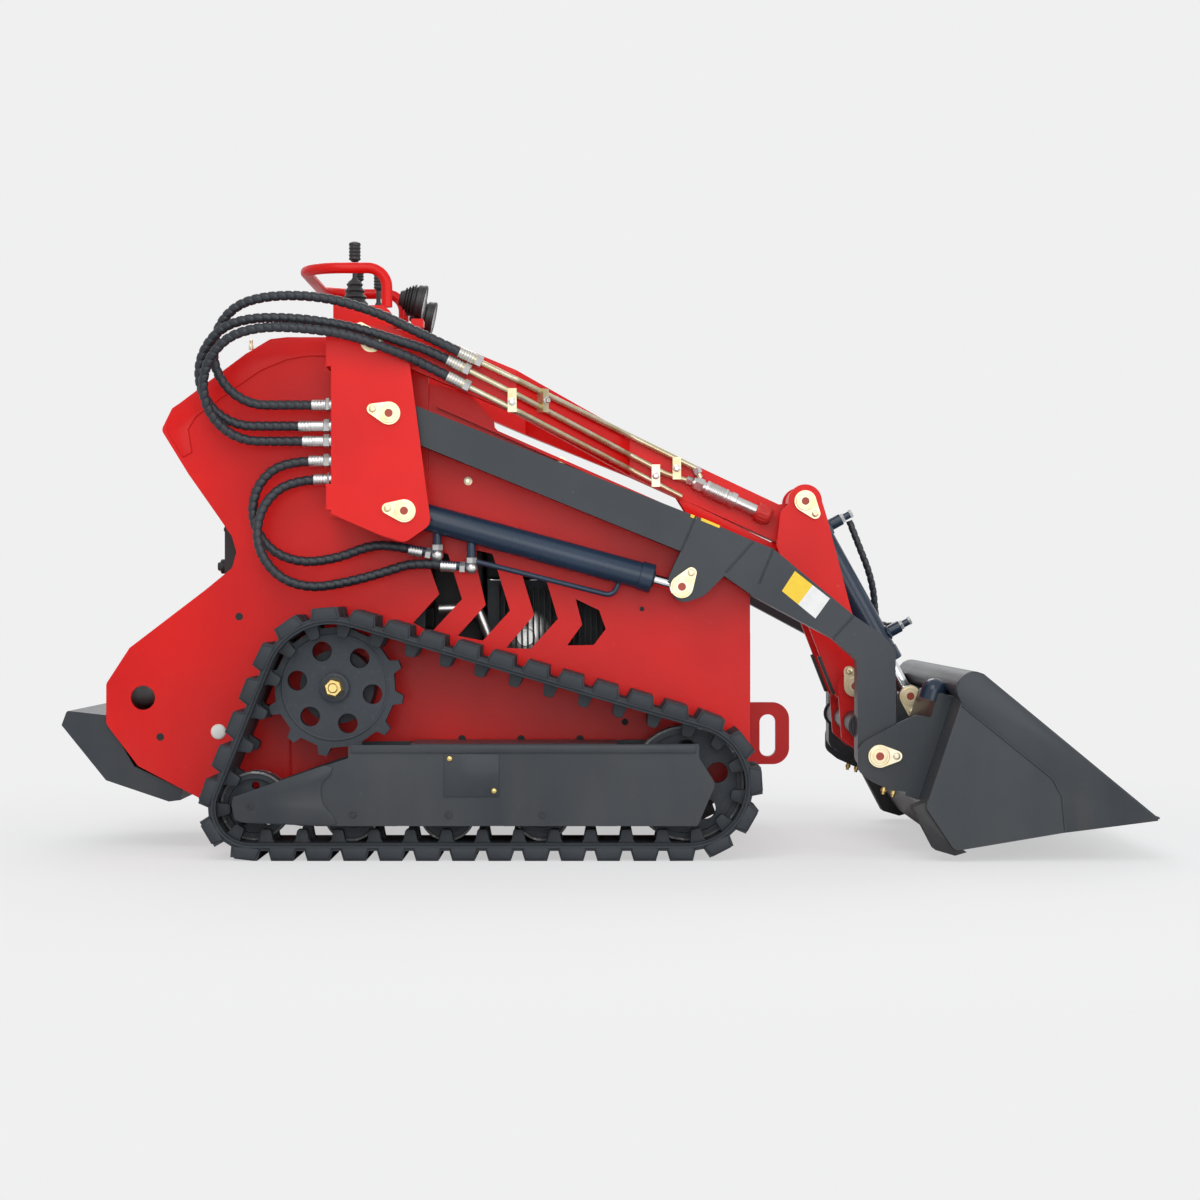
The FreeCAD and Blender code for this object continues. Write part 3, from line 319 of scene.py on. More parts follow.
def finished(name, bm, finish, body=None, crease=35):
    """Turns a bmesh into a piece with one finish, smooth but for its edges."""
    bmesh.ops.recalc_face_normals(bm, faces=bm.faces)
    for face in bm.faces:
        face.smooth = True
    for edge in bm.edges:
        if len(edge.link_faces) == 2 and edge.calc_face_angle(0) > math.radians(crease):
            edge.smooth = False
    mesh = bpy.data.meshes.new(name)
    bm.to_mesh(mesh)
    bm.free()
    mesh.materials.append(finish.material)
    piece = added(name, mesh)
    if body:
        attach(piece, body)
    return piece


def guarded_hose(node, points, diameter, body, crosses=None):
    """A hose in its spiral guard along one route, in place of its CAD tube."""
    route = [Vector(p) * MM for p in points]
    smooth = smooth_route(node, route)
    path = even_steps(smooth, HOSE_STEP)
    gap = run_length(smooth) / (len(path) - 1)

    def section(angle, i):
        turn = math.cos(angle - 2 * math.pi * i * gap / GUARD_PITCH)
        return diameter / 2 * (1 - GUARD_RISE + GUARD_RISE * min(1.0, 1.6 + 2 * turn))

    bm = bmesh.new()
    swept(bm, path, section, HOSE_SIDES)
    piece = finished(node.replace("_hose", "_guarded_hose"), bm, hose_finish, None, 60)
    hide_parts(node)
    if crosses:
        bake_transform(piece)
    else:
        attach(piece, body)
    run_length(path)


# The five hoses from the tower: the body that each one's far end moves with, where
# the hose starts and ends giving way, ahead of that body's pin, and the route.
upper_pin = pivots["upper_link_swing"]
lift_pin = pivots["lift_cylinder_right_swing"]
far_pins = {"upper_link": upper_pin, "lift_cylinder_right": lift_pin}
tower_hoses = {
    "aux_hose_upper": ("upper_link", -0.12, 0.17, [
        (-557, -330, 916), (-635, -330, 916), (-714, -332, 916), (-773, -342, 967),
        (-784, -358, 1043), (-742, -376, 1110), (-667, -392, 1133), (-553, -402, 1130),
        (-444, -404, 1098), (-375, -400, 1064), (-316, -378.32, 1038.1),
        (-276.3, -374.03, 1019.14)]),
    "aux_hose_middle": ("upper_link", -0.12, 0.15, [
        (-584, -330, 873), (-661, -330, 873), (-742, -334, 873), (-801, -346, 922),
        (-812, -364, 998), (-769, -386, 1064), (-700, -402, 1087), (-601, -410, 1085),
        (-506, -412, 1070), (-442, -411, 1053), (-386, -405, 1035.5), (-340.2, -377.57, 1022.95),
        (-300.3, -374.03, 1003.15)]),
    "aux_hose_lower": ("upper_link", -0.12, 0.15, [
        (-576, -330, 842), (-651, -330, 842), (-730, -342, 842), (-790, -364, 893),
        (-800, -389, 972), (-756, -410, 1041), (-683, -424, 1066), (-586, -431, 1063),
        (-494, -431, 1048), (-440, -424, 1029), (-386, -406, 1010), (-340.2, -377.57, 989.95),
        (-300.3, -374.03, 970.15)]),
    "lift_hose_upper": ("lift_cylinder_right", -0.16, 0.0, [
        (-563, -330, 802), (-639, -330, 802), (-695, -330, 755), (-707, -330, 683),
        (-671, -330, 620), (-606, -331, 593), (-530, -330, 603), (-478, -328, 624),
        (-436, -325, 632.3), (-386.3, -325, 623.05)]),
    "lift_hose_lower": ("lift_cylinder_right", -0.14, 0.06, [
        (-553, -330, 764), (-625, -330, 764), (-683, -344, 713), (-695, -358, 635),
        (-655, -360, 567), (-586, -354, 541), (-503, -344, 555), (-426, -333, 577),
        (-378, -325, 594.14), (-320.3, -325, 590.02)]),
}
for node, (carrier, gives_from, gives_to, points) in tower_hoses.items():
    pin = far_pins[carrier]
    guarded_hose(node, points, HOSE_D, "chassis", carrier)

# The tilt cylinder's two hoses: points by distance along the barrel, distance
# in front of it and across the machine.
crank_top = pivots["tilt_cylinder_swing"]
BARREL_AXIS = Vector((0.4821, 0, -0.8761))
BARREL_FRONT = Vector((0.8761, 0, 0.4821))


def beside_barrel(along, off, across):
    way = BARREL_AXIS * along + BARREL_FRONT * off
    spot = crank_top + way * MM + Vector((0, across * MM - crank_top.y, 0))
    return tuple(spot / MM)


guarded_hose("tilt_hose_upper", [beside_barrel(*p) for p in (
    (84, 72, 0), (112, 68, 0), (152, 63, 2), (196, 58, 8), (240, 48, 20), (280, 32, 34),
    (318, 17, 41), (345, 12, 41))], TILT_HOSE_D, "tilt_cylinder")
guarded_hose("tilt_hose_lower", [beside_barrel(*p) for p in (
    (337, 72, 9), (341, 66, 66), (324, 32, 104), (280, 10, 118), (230, 0, 106))],
    TILT_HOSE_D, "tilt_cylinder")


# ==== Hull ====
# Laser-cut side plates and a folded tub of 8 mm steel, welded together and
# sprayed in red enamel, which runs a little at the corners and picks up dust
# low down between the tracks.
def enamel(name, deep, bright, roughness, coat, dusty):
    """Sprayed machine enamel: slow changes of tone, orange peel, fine scratches."""
    finish = Finish(name)
    cloud = finish.noise(3.5)
    streaks = finish.noise(14.0, 6.0, (1.0, 1.0, 0.22))
    peel = finish.noise(900.0, 1.0)
    scratch = finish.noise(70.0, 3.0, (1.0, 6.0, 1.0)).between(0.72, 0.78)
    colour = finish.mix(cloud.between(0.3, 0.7), deep, bright)
    colour = finish.mix(streaks.between(0.45, 0.9) * 0.25, colour, deep)
    colour = finish.mix(scratch * 0.05, colour, (0.5, 0.5, 0.5, 1))
    low = 1.0 - finish.height_above_ground().between(0.0, 0.42)
    dust = low * streaks.between(0.35, 0.75) * dusty
    colour = finish.mix(dust, colour, (0.26, 0.22, 0.18, 1))
    finish.surface({
        "Base Color": colour,
        "Roughness": cloud * 0.08 + streaks * 0.1 + dust * 0.3 + (roughness - 0.09),
        "Coat Weight": coat,
        "Coat Roughness": 0.12,
        "Specular IOR Level": 0.22,
        "Normal": finish.grain(peel * 0.6 + streaks * 0.4, 0.0006, 0.35),
    })
    return finish


def dress(finish, *names):
    for name in names:
        for slot in nodes[name].material_slots:
            slot.material = finish.material


red_enamel = enamel("red_enamel", (0.60, 0.003, 0.004, 1), (0.74, 0.008, 0.005, 1),
                    roughness=0.36, coat=0.05, dusty=0.12)
dress(red_enamel, "hull_sides", "hull_tub", "dash_panel", "towers", "tow_eye", "reference_handle",
      "upper_beam", "lamp_brackets", "boom_bracket", "crank")


def lathe(bm, start, axis, profile, sides, hoop=False):
    """Round form from (distance along the axis, radius) points, capped or a hoop."""
    axis = Vector(axis).normalized()
    side = axis.orthogonal().normalized()
    up = axis.cross(side)
    angles = [2 * math.pi * k / sides for k in range(sides)]
    rings = []
    for distance, radius in profile:
        centre = Vector(start) + axis * distance
        around = [rim_point(centre, side, up, a, radius) for a in angles] if radius > 0 else [centre]
        rings.append([bm.verts.new(point) for point in around])
    skin(bm, rings, hoop)


def hex_bolt(bm, place, axis, flats, washer=0.0, stud=0.0):
    """Hexagon head with a turned chamfer, on a washer, with a stud's end."""
    axis = Vector(axis).normalized()
    at = Vector(place)
    if washer:
        lathe(bm, at, axis, [(-0.001, washer), (0.0016, washer), (0.002, washer - 0.0006),
                             (0.002, flats * 0.4)], 24)
        at = at + axis * 0.002
    corner = flats / math.sqrt(3)
    high = flats * 0.62
    lathe(bm, at, axis, [(-0.0005, corner), (high * 0.82, corner), (high, corner * 0.84),
                         (high - 0.0004, 0)], 6)
    if stud:
        lathe(bm, at, axis, [(0, stud), (high + stud * 0.9, stud), (high + stud * 1.1, stud * 0.8),
                             (high + stud * 1.1, 0)], 16)


def plate(bm, outline, y0, y1):
    """Flat plate with that XZ outline between two planes across the machine."""
    skin(bm, [[bm.verts.new((x, y, z)) for x, z in outline] for y in (y0, y1)])


def softened(bm, width, segments):
    """Rounds every sharp edge of the flat plates made so far."""
    bmesh.ops.recalc_face_normals(bm, faces=bm.faces)
    sharp = [e for e in bm.edges if len(e.link_faces) == 2 and e.calc_face_angle(0) > math.radians(30)]
    bmesh.ops.bevel(bm, geom=sharp, offset=width, segments=segments, affect="EDGES", profile=0.5,
                    clamp_overlap=True)


def plate_work(name, plates, finish, body, width=0.0012, segments=2, crease=30):
    """A piece of flat plates with rounded edges, from (outline, y0, y1)."""
    bm = bmesh.new()
    for outline, y0, y1 in plates:
        plate(bm, outline, y0, y1)
    softened(bm, width, segments)
    finished(name, bm, finish, body, crease)


def on_both_sides(outline, y, thick):
    """That outline as a plate on each side, outwards from a plane."""
    return [(outline, side * y, side * (y + thick)) for side in (-1, 1)]


def weld_bead(bm, points, radius):
    """Rippled fillet weld along a line."""
    path = even_steps([Vector(p) for p in points], radius * 0.45)
    swept(bm, path, lambda angle, i: radius * (0.86 + 0.14 * abs(math.sin(i * 0.8))), 8)


zinc_finish = Finish("yellow_zinc_plate")
tarnish = zinc_finish.noise(38.0)
bloom = zinc_finish.noise(16.0, 3.0)
zinc_tone = zinc_finish.mix(tarnish.between(0.35, 0.7), (0.78, 0.66, 0.36, 1), (0.86, 0.80, 0.62, 1))
zinc_tone = zinc_finish.mix(bloom.between(0.5, 0.75) * 0.4, zinc_tone, (0.74, 0.48, 0.42, 1))
zinc_finish.surface({"Base Color": zinc_tone, "Metallic": 0.72, "Roughness": tarnish * 0.2 + 0.24,
                     "Normal": zinc_finish.grain(zinc_finish.noise(500.0, 2.0), 0.0003, 0.3)})
hole_shade_finish = two_tone("shaded_bore", 80.0, (0.006, 0.006, 0.007), (0.016, 0.016, 0.017),
                      rough=0.6, drift=0.2)
plug_finish = two_tone("white_moulded_plug", 70.0, (0.70, 0.68, 0.64), (0.82, 0.81, 0.78),
                       rough=0.32, drift=0.15)
HULL_FACE = 0.270
PLUG_PROFILE = [(-0.004, 0.0150), (0.0004, 0.0158), (0.0018, 0.0150), (0.0034, 0.0118), (0.0042, 0.0060),
                (0.0044, 0)]
# X, Z and radius of the small holes in each side plate, each drawn as a black disc that is painted shade.
SMALL_BORES = ((-0.9023, 0.2352, 0.008), (-0.7392, 0.4837, 0.008), (-0.2789, 0.2311, 0.008),
               (-0.1571, 0.2311, 0.008), (-0.0353, 0.2311, 0.008), (0.0576, 0.2662, 0.007),
               (0.0927, 0.4994, 0.005))
bolts = bmesh.new()
bores = bmesh.new()
plugs = bmesh.new()
for side in (-1, 1):
    y = side * HULL_FACE
    lathe(plugs, (-0.7820, y, 0.2460), (0, side, 0), PLUG_PROFILE, 32)
    for x, z in ((-0.2665, 0.7637), (-0.0724, 0.8049)):
        hex_bolt(bolts, (x, y, z), (0, side, 0), 0.010, 0.009)
    for x, z, r in SMALL_BORES:
        # A black disc on the plate's face paints the shade inside each small hole.
        lathe(bores, (x, y - side * 0.001, z), (0, side, 0), [(0, r), (0.0013, r), (0.0013, 0)], 20)
finished("hull_bolts", bolts, zinc_finish, "chassis")
finished("hull_bolt_bores", bores, hole_shade_finish, "chassis")
finished("hull_plugs", plugs, plug_finish, "chassis", 40)

rim = [(-0.3950, 1.0600), (-0.6150, 1.0600), (-0.6720, 1.0540), (-0.7250, 1.0270), (-0.8120, 0.9620),
       (-0.8640, 0.9230), (-0.8890, 0.8880), (-0.8880, 0.8650), (-0.8560, 0.8120), (-0.8360, 0.8220),
       (-0.8440, 0.8700), (-0.8280, 0.8960), (-0.7740, 0.9360), (-0.6960, 0.9900), (-0.6420, 1.0130),
       (-0.6000, 1.0210), (-0.3950, 1.0210)]
plate_work("hull_stiffening_rims", on_both_sides(rim, HULL_FACE - 0.001, 0.0045), red_enamel, "chassis",
           0.0032, 3, 40)
nipple = bmesh.new()
lathe(nipple, (-0.7158, -0.262, 1.036), (0, 0, 1), [
    (0, 0.0050), (0.007, 0.0050), (0.009, 0.0040), (0.012, 0.0030), (0.016, 0.0042), (0.020, 0.0034),
    (0.021, 0)], 16)
finished("hull_breather", nipple, zinc_finish, "chassis")

HULL_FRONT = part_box("hull_sides")[1].x
TOWER_BACK = -0.5475
TOWER_SHELVES = (0.991, 0.751)
welds = bmesh.new()
for side in (-1, 1):
    face = side * (HULL_FACE + 0.0008)
    weld_bead(welds, [(-0.634, face, 0.125 + 0.02 * k) for k in range(7)], 0.0028)
    weld_bead(welds, [(HULL_FRONT - 0.002, side * 0.262, z) for z in (0.16, 0.30, 0.45)], 0.003)
    for z in TOWER_SHELVES:
        weld_bead(welds, [(TOWER_BACK, side * y, z) for y in (0.285, 0.33, 0.376)], 0.003)
    weld_bead(welds, [(0.3095, 0.0125 * side, z) for z in (0.17, 0.23, 0.29)], 0.0035)
finished("hull_weld_beads", welds, red_enamel, "chassis", 60)

# ==== Pins and their keepers ====
# Each pin turns in hardened bores and is kept from turning by a pressed
# teardrop plate, yellow zinc plated and held by one button-head screw. The
# pin's greased end shows red lead through the plate.
lead_finish = two_tone("red_lead_pin_end", 240.0, (0.30, 0.035, 0.018), (0.45, 0.07, 0.035),
                       rough=0.4, drift=0.2)
dress(zinc_finish, "tower_retainers", "boom_retainers", "crank_retainers", "attach_retainers",
      "tower_pins", "crank_pin")
KEEPER_TAIL = 0.034
PIN_PROUD = 0.004
KEEPER_T = 0.006
LIFT_EYE = Vector((0.172, 0, 0.545))
TILT_EYE = Vector((0.674, 0, 0.311))
KEEPER_RING = [(-0.0005, 0.0205), (0.0012, 0.0200), (0.0018, 0.0190), (0.0018, 0.0155), (0.0010, 0.0148),
               (0.0010, 0.0130)]
PIN_RIM = [(0, 0.0124), (0.0008, 0.0118), (0.0008, 0.0088), (0.0001, 0.0084), (0.0001, 0)]
PIN_END = [(0, 0.0084), (0.0005, 0.0080), (0.0007, 0.003), (0.0003, 0)]
BUTTON_HEAD = [(-0.0004, 0.0075), (0.0008, 0.0074), (0.0032, 0.0058), (0.0042, 0.0036), (0.0042, 0.0026),
               (0.0022, 0.0022), (0.0022, 0)]
# For each body: the pin, the way that the keeper's tail points, and the plane it lies on.
keepers = {
    "chassis": [(upper_pin, 130, 0.388), (pivots["boom_lift"], 166, 0.388), (lift_pin, 172, 0.388)],
    "boom": [(LIFT_EYE, 56, 0.360), (pivots["crank_swing"], 112, 0.110)],
    "crank": [(crank_top, -52, 0.096)],
    "bucket_carrier": [(pivots["bucket_tilt"], 0, 0.374), (TILT_EYE, -83, 0.046)],
}
for body, places in keepers.items():
    rings = bmesh.new()
    ends = bmesh.new()
    for pin, tail, face in places:
        to_screw = Vector((math.cos(math.radians(tail)), 0, math.sin(math.radians(tail)))) * KEEPER_TAIL
        for side in (-1, 1):
            out = Vector((0, side, 0))
            top = Vector((pin.x, side * (face + KEEPER_T), pin.z))
            lathe(rings, top, out, KEEPER_RING, 32)
            lathe(rings, top + out * (PIN_PROUD - 0.0004), out, PIN_RIM, 32)
            lathe(ends, top + out * (PIN_PROUD - 0.0002), out, PIN_END, 24)
            lathe(rings, top + to_screw, out, BUTTON_HEAD, 20)
    finished(body + "_keeper_rings", rings, zinc_finish, body, 28)
    finished(body + "_pin_ends", ends, lead_finish, body, 28)

# ==== Tracks ====
# Moulded rubber belts on steel cord. Each lug's ends are drawn in with a
# chamfer, and a flash line runs round each edge of the belt.
rubber_finish = Finish("track_rubber")
cloud = rubber_finish.noise(7.0)
grit = rubber_finish.noise(320.0, 3.0)
scuffs = rubber_finish.noise(42.0, 5.0).between(0.56, 0.72)
rubber_tone = rubber_finish.mix(cloud.between(0.3, 0.7), (0.013, 0.017, 0.022, 1), (0.025, 0.031, 0.039, 1))
rubber_tone = rubber_finish.mix(scuffs * 0.05, rubber_tone, (0.16, 0.15, 0.135, 1))
rubber_finish.surface({"Base Color": rubber_tone, "Roughness": cloud * 0.2 + 0.56,
                       "Normal": rubber_finish.grain(grit * 0.7 + cloud * 0.3, 0.0006, 0.6)})
dress(rubber_finish, "track_right", "track_left")
LINKS = 36
BELT_T = 0.014
LUG_H = 0.020
LUG_TIP = 0.044
LUG_BASE = 0.056
CORD_LINE = 0.008
REAR_IDLER = (-0.688, 0.104)
FRONT_IDLER = (0.180, 0.150)
SPROCKET = (-0.528, 0.342)
track_low, track_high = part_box("track_right")
track_mid = abs(track_low.y + track_high.y) / 2
track_half = (track_high.y - track_low.y) / 2
wheel_circles = [(REAR_IDLER, 0.070), (FRONT_IDLER, 0.116), (SPROCKET, 0.129)]


def belt_runs(circles):
    """Arcs and straights of the belt's inner face, anticlockwise from the rear."""
    turns = []
    for i, ((x, z), r) in enumerate(circles):
        (x2, z2), r2 = circles[(i + 1) % len(circles)]
        turns.append(math.atan2(z2 - z, x2 - x) + math.asin((r - r2) / math.hypot(x2 - x, z2 - z)))
    runs = []
    for i, ((x, z), r) in enumerate(circles):
        (x2, z2), r2 = circles[(i + 1) % len(circles)]
        before, after = turns[i - 1], turns[i]
        runs.append(("arc", x, z, r, before, ((after - before) % (2 * math.pi)) * (r + CORD_LINE)))
        start = (x + r * math.sin(after), z - r * math.cos(after))
        end = (x2 + r2 * math.sin(after), z2 - r2 * math.cos(after))
        runs.append(("line", *start, 0, after, math.hypot(end[0] - start[0], end[1] - start[1])))
    return runs


runs = belt_runs(wheel_circles)
belt_length = sum(run[5] for run in runs)
pitch = belt_length / LINKS


def on_belt(s, out):
    """(x, z, heading) at a distance along the cord line, out from the inner face."""
    s = s % belt_length
    for kind, x, z, r, angle, length in runs:
        if s <= length:
            break
        s -= length
    if kind == "arc":
        angle += s / (r + CORD_LINE)
        return x + (r + out) * math.sin(angle), z - (r + out) * math.cos(angle), angle
    return (x + s * math.cos(angle) + out * math.sin(angle),
            z + s * math.sin(angle) - out * math.cos(angle), angle)


def node_group(name, inputs):
    """Empty geometry tree with named inputs and its group nodes."""
    tree = bpy.data.node_groups.new(name, "GeometryNodeTree")
    tree.interface.new_socket("Geometry", in_out="INPUT", socket_type="NodeSocketGeometry")
    for title, kind in inputs:
        tree.interface.new_socket(title, in_out="INPUT", socket_type=kind)
    tree.interface.new_socket("Geometry", in_out="OUTPUT", socket_type="NodeSocketGeometry")
    return tree, tree.nodes.new("NodeGroupInput"), tree.nodes.new("NodeGroupOutput")


def step(tree, kind, values, settings=None):
    """A node of a geometry tree; a value is a number or another node's output."""
    made = tree.nodes.new(kind)
    for key, value in (settings or {}).items():
        setattr(made, key, value)
    for key, value in values.items():
        if isinstance(value, bpy.types.NodeSocket):
            tree.links.new(value, made.inputs[key])
        else:
            made.inputs[key].default_value = value
    return made


# Copies one small part to each point of a mesh, turned by the point's "turn".
repeat, given, result = node_group("repeated_part", [("Part", "NodeSocketObject"),
                                                     ("Finish", "NodeSocketMaterial")])
part = step(repeat, "GeometryNodeObjectInfo", {"Object": given.outputs["Part"]})
turn = step(repeat, "GeometryNodeInputNamedAttribute", {"Name": "turn"}, {"data_type": "FLOAT_VECTOR"})
euler = step(repeat, "FunctionNodeEulerToRotation", {"Euler": turn.outputs["Attribute"]})
copies = step(repeat, "GeometryNodeInstanceOnPoints", {"Points": given.outputs["Geometry"],
                                                       "Instance": part.outputs["Geometry"],
                                                       "Rotation": euler.outputs["Rotation"]})
real = step(repeat, "GeometryNodeRealizeInstances", {"Geometry": copies.outputs["Instances"]})
coated = step(repeat, "GeometryNodeSetMaterial", {"Geometry": real.outputs["Geometry"],
                                                  "Material": given.outputs["Finish"]})
repeat.links.new(coated.outputs["Geometry"], result.inputs["Geometry"])


def repeated(name, part_bm, spots, finish, body, crease):
    """One piece made of a small part repeated at (place, turn) spots."""
    part_piece = finished(name + "_one", part_bm, finish, None, crease)
    points = bpy.data.meshes.new(name + "_points")
    points.from_pydata([place for place, turn in spots], [], [])
    turns = points.attributes.new("turn", "FLOAT_VECTOR", "POINT")
    turns.data.foreach_set("vector", [value for place, turn in spots for value in turn])
    holder = added(name + "_points", points)
    maker = holder.modifiers.new("repeat", "NODES")
    maker.node_group = repeat
    names = {item.name: item.identifier for item in repeat.interface.items_tree if item.in_out == "INPUT"}
    maker[names["Part"]] = part_piece
    maker[names["Finish"]] = finish.material
    mesh = plain_mesh(holder)
    mesh.name = name
    bpy.data.objects.remove(part_piece)
    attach(added(name, mesh), body)


DRAWN_IN = 0.003
END_PROUD = 0.004
END_ROOT = 0.004
SUNK = 0.006


def lug_end(side):
    """End of a lug on one side of the machine: a root and a smaller face out from it."""
    root = [(-LUG_BASE / 2, -SUNK), (LUG_BASE / 2, -SUNK), (LUG_TIP / 2 - 0.001, LUG_H - 0.0015),
            (-LUG_TIP / 2 + 0.001, LUG_H - 0.0015)]
    face = [(-LUG_BASE / 2 + DRAWN_IN, -SUNK), (LUG_BASE / 2 - DRAWN_IN, -SUNK),
            (LUG_TIP / 2 - DRAWN_IN, LUG_H - 2 * DRAWN_IN), (-LUG_TIP / 2 + DRAWN_IN, LUG_H - 2 * DRAWN_IN)]
    bm = bmesh.new()
    layers = ((face, side * END_PROUD), (root, 0), (root, -side * END_ROOT))
    skin(bm, [[bm.verts.new((x, y, -z)) for x, z in outline] for outline, y in layers])
    softened(bm, 0.0009, 1)
    return bm


HANDS = ((-1, "right"), (1, "left"))
for side, hand in HANDS:
    spots = []
    for k in range(LINKS):
        x, z, heading = on_belt(k * pitch, BELT_T)
        spots.append(((x, side * (track_mid + track_half), z), (0, -heading, 0)))
    repeated("track_lug_ends_" + hand, lug_end(side), spots, rubber_finish, "chassis", 50)

GUIDE_H = 0.0262
GUIDE_ROOT = 0.034
GUIDE_CREST = 0.017
GUIDE_ROWS = (-0.049, 0.049)
horn = bmesh.new()
half = [(GUIDE_CREST / 2 - 0.001, GUIDE_H), (GUIDE_CREST / 2 + 0.002, GUIDE_H - 0.004),
        (GUIDE_ROOT / 2 - 0.003, 0.004), (GUIDE_ROOT / 2, -0.001)]
plate(horn, [(-x, z) for x, z in reversed(half)] + half, -0.0114, 0.0114)
softened(horn, 0.0016, 2)
spots = []
for k in range(LINKS):
    x, z, heading = on_belt((k + 0.5) * pitch, 0)
    spots += [((x, side * track_mid + across, z), (0, -heading, 0))
              for side in (-1, 1) for across in GUIDE_ROWS]
repeated("track_guide_horns", horn, spots, rubber_finish, "chassis", 40)

FLASH_POINTS = 288
flash = bmesh.new()
for side in (-1, 1):
    for edge in (track_half, -track_half):
        y = side * (track_mid + edge)
        for out, bulge in ((BELT_T * 0.5, 0.0035), (0.0005, 0.0016)):
            around = [on_belt(belt_length * k / FLASH_POINTS, out) for k in range(FLASH_POINTS + 1)]
            swept(flash, [Vector((x, y, z)) for x, z, _ in around], lambda angle, i: bulge, 8)
finished("track_flash_lines", flash, rubber_finish, "chassis", 80)


# Drive sprockets, idlers and rollers: cut and cast steel in a thin dark paint,
# worn bright where the belt runs.
def worn_iron(name, tone, bright_share):
    finish = Finish(name)
    cast = finish.noise(26.0)
    rub = finish.noise(90.0, 6.0).between(0.56, 0.68) * bright_share
    colour = finish.mix(cast, tone, tuple(c * 1.5 for c in tone[:3]) + (1,))
    finish.surface({"Base Color": finish.mix(rub, colour, (0.42, 0.41, 0.40, 1)), "Metallic": rub * 0.8,
                    "Roughness": 0.5 - rub * 0.15 + cast * 0.12,
                    "Normal": finish.grain(finish.noise(420.0, 3.0), 0.0005, 0.5)})
    return finish


iron_finish = worn_iron("wheel_iron", (0.019, 0.025, 0.033, 1), 0.03)
polished = worn_iron("polished_tread", (0.10, 0.10, 0.10, 1), 1.0)
gold_finish = two_tone("gold_plated_nut", 160.0, (0.66, 0.47, 0.16), (0.82, 0.64, 0.27),
                       rough=0.22, drift=0.2, metal=0.9)
dress(iron_finish, "sprockets", "track_idlers", "track_rollers", "drive_motors", "engine_block",
      "oil_and_fuel_tank")
ROLLER_XS = (-0.493, -0.300, -0.110)
ROLLER_Z = 0.090
ROLLER_TREADS = (-0.0272, 0.0272)
IDLER_TREADS = (-0.0245, 0.0245)
SPROCKET_HUB = [(-0.001, 0.0295), (0.002, 0.029), (0.003, 0.027), (0.0032, 0.0235), (0.0025, 0.0230),
                (0.0025, 0.015)]
SPROCKET_RIM = [(-0.0006, 0.1090), (0.0010, 0.1085), (0.0016, 0.1070), (0.0016, 0.1050), (0.0010, 0.1035),
                (-0.0006, 0.1030)]
ROLLER_SEAL = [(-0.0006, 0.050), (0.0010, 0.049), (0.0012, 0.040), (0.0004, 0.038), (0.0004, 0.030),
               (0.0022, 0.029), (0.0022, 0.0185)]
ROLLER_TREAD = [(-0.0020, 0.0555), (-0.0016, 0.0562), (0.0016, 0.0562), (0.0020, 0.0555),
                (0.0020, 0.0520), (-0.0020, 0.0520)]
hubs = bmesh.new()
nuts = bmesh.new()
treads = bmesh.new()
for side in (-1, 1):
    out = Vector((0, side, 0))
    middle = out * track_mid
    sprocket = middle + Vector((SPROCKET[0], 0, SPROCKET[1]))
    lathe(hubs, sprocket + out * 0.025, out, SPROCKET_HUB, 40)
    hex_bolt(nuts, sprocket + out * 0.027, out, 0.034, stud=0.010)
    lathe(hubs, sprocket + out * 0.015, out, SPROCKET_RIM, 72, True)
    for (x, z), r in ((FRONT_IDLER, 0.030), (REAR_IDLER, 0.022)):
        lathe(hubs, middle + Vector((x, side * 0.010, z)), out,
              [(-0.0004, r + 0.010), (0.002, r + 0.009), (0.0035, r + 0.004), (0.0035, r)], 40)
    for x in ROLLER_XS:
        lathe(hubs, middle + Vector((x, side * 0.026, ROLLER_Z)), out, ROLLER_SEAL, 40)
        for y in ROLLER_TREADS:
            lathe(treads, middle + Vector((x, y, ROLLER_Z)), out, ROLLER_TREAD, 64, True)
    for (x, z), r in wheel_circles[:2]:
        for y in IDLER_TREADS:
            lathe(treads, middle + Vector((x, y, z)), out, [
                (-0.0016, r - 0.0015), (-0.0012, r - 0.0006), (0.0012, r - 0.0006), (0.0016, r - 0.0015),
                (0.0016, r - 0.0050), (-0.0016, r - 0.0050)], 72, True)
finished("wheel_rims_and_seals", hubs, iron_finish, "chassis", 28)
finished("polished_treads", treads, polished, "chassis", 28)
finished("sprocket_nuts", nuts, gold_finish, "chassis", 28)

# ==== Track frames ====
# Pressed cover plates with a folded upper lip, an inspection plate on two
# screws and a lapped end plate that carries the rear idler.
grey_enamel = enamel("dark_grey_enamel", (0.028, 0.034, 0.041, 1), (0.046, 0.052, 0.059, 1),
                     roughness=0.40, coat=0.10, dusty=0.10)
plastic_finish = two_tone("black_moulding", 30.0, (0.013, 0.013, 0.014), (0.025, 0.025, 0.027),
                          rough=0.42, drift=0.15, relief=(700.0, 2.0, 0.0004, 0.6))
dress(grey_enamel, "track_frames", "boom", "quick_attach", "bucket", "tail_weight")
COVER_FACE = 0.470
BEDDED = 0.001
upper_lip = [(-0.488, 0.2145), (0.196, 0.2145), (0.196, 0.2300), (-0.488, 0.2300)]
inspection_plate = [(-0.3037, 0.127), (-0.1945, 0.127), (-0.1945, 0.2123), (-0.3037, 0.2123)]
end_plate = [(-0.716, 0.0815), (-0.706, 0.0765), (-0.528, 0.0700), (-0.5165, 0.0730), (-0.5225, 0.0850),
             (-0.5330, 0.0990), (-0.5440, 0.1130), (-0.5478, 0.1300), (-0.5478, 0.1468), (-0.5410, 0.1600),
             (-0.5290, 0.1700), (-0.5250, 0.1860), (-0.5420, 0.1895), (-0.7225, 0.1270), (-0.7260, 0.1100)]
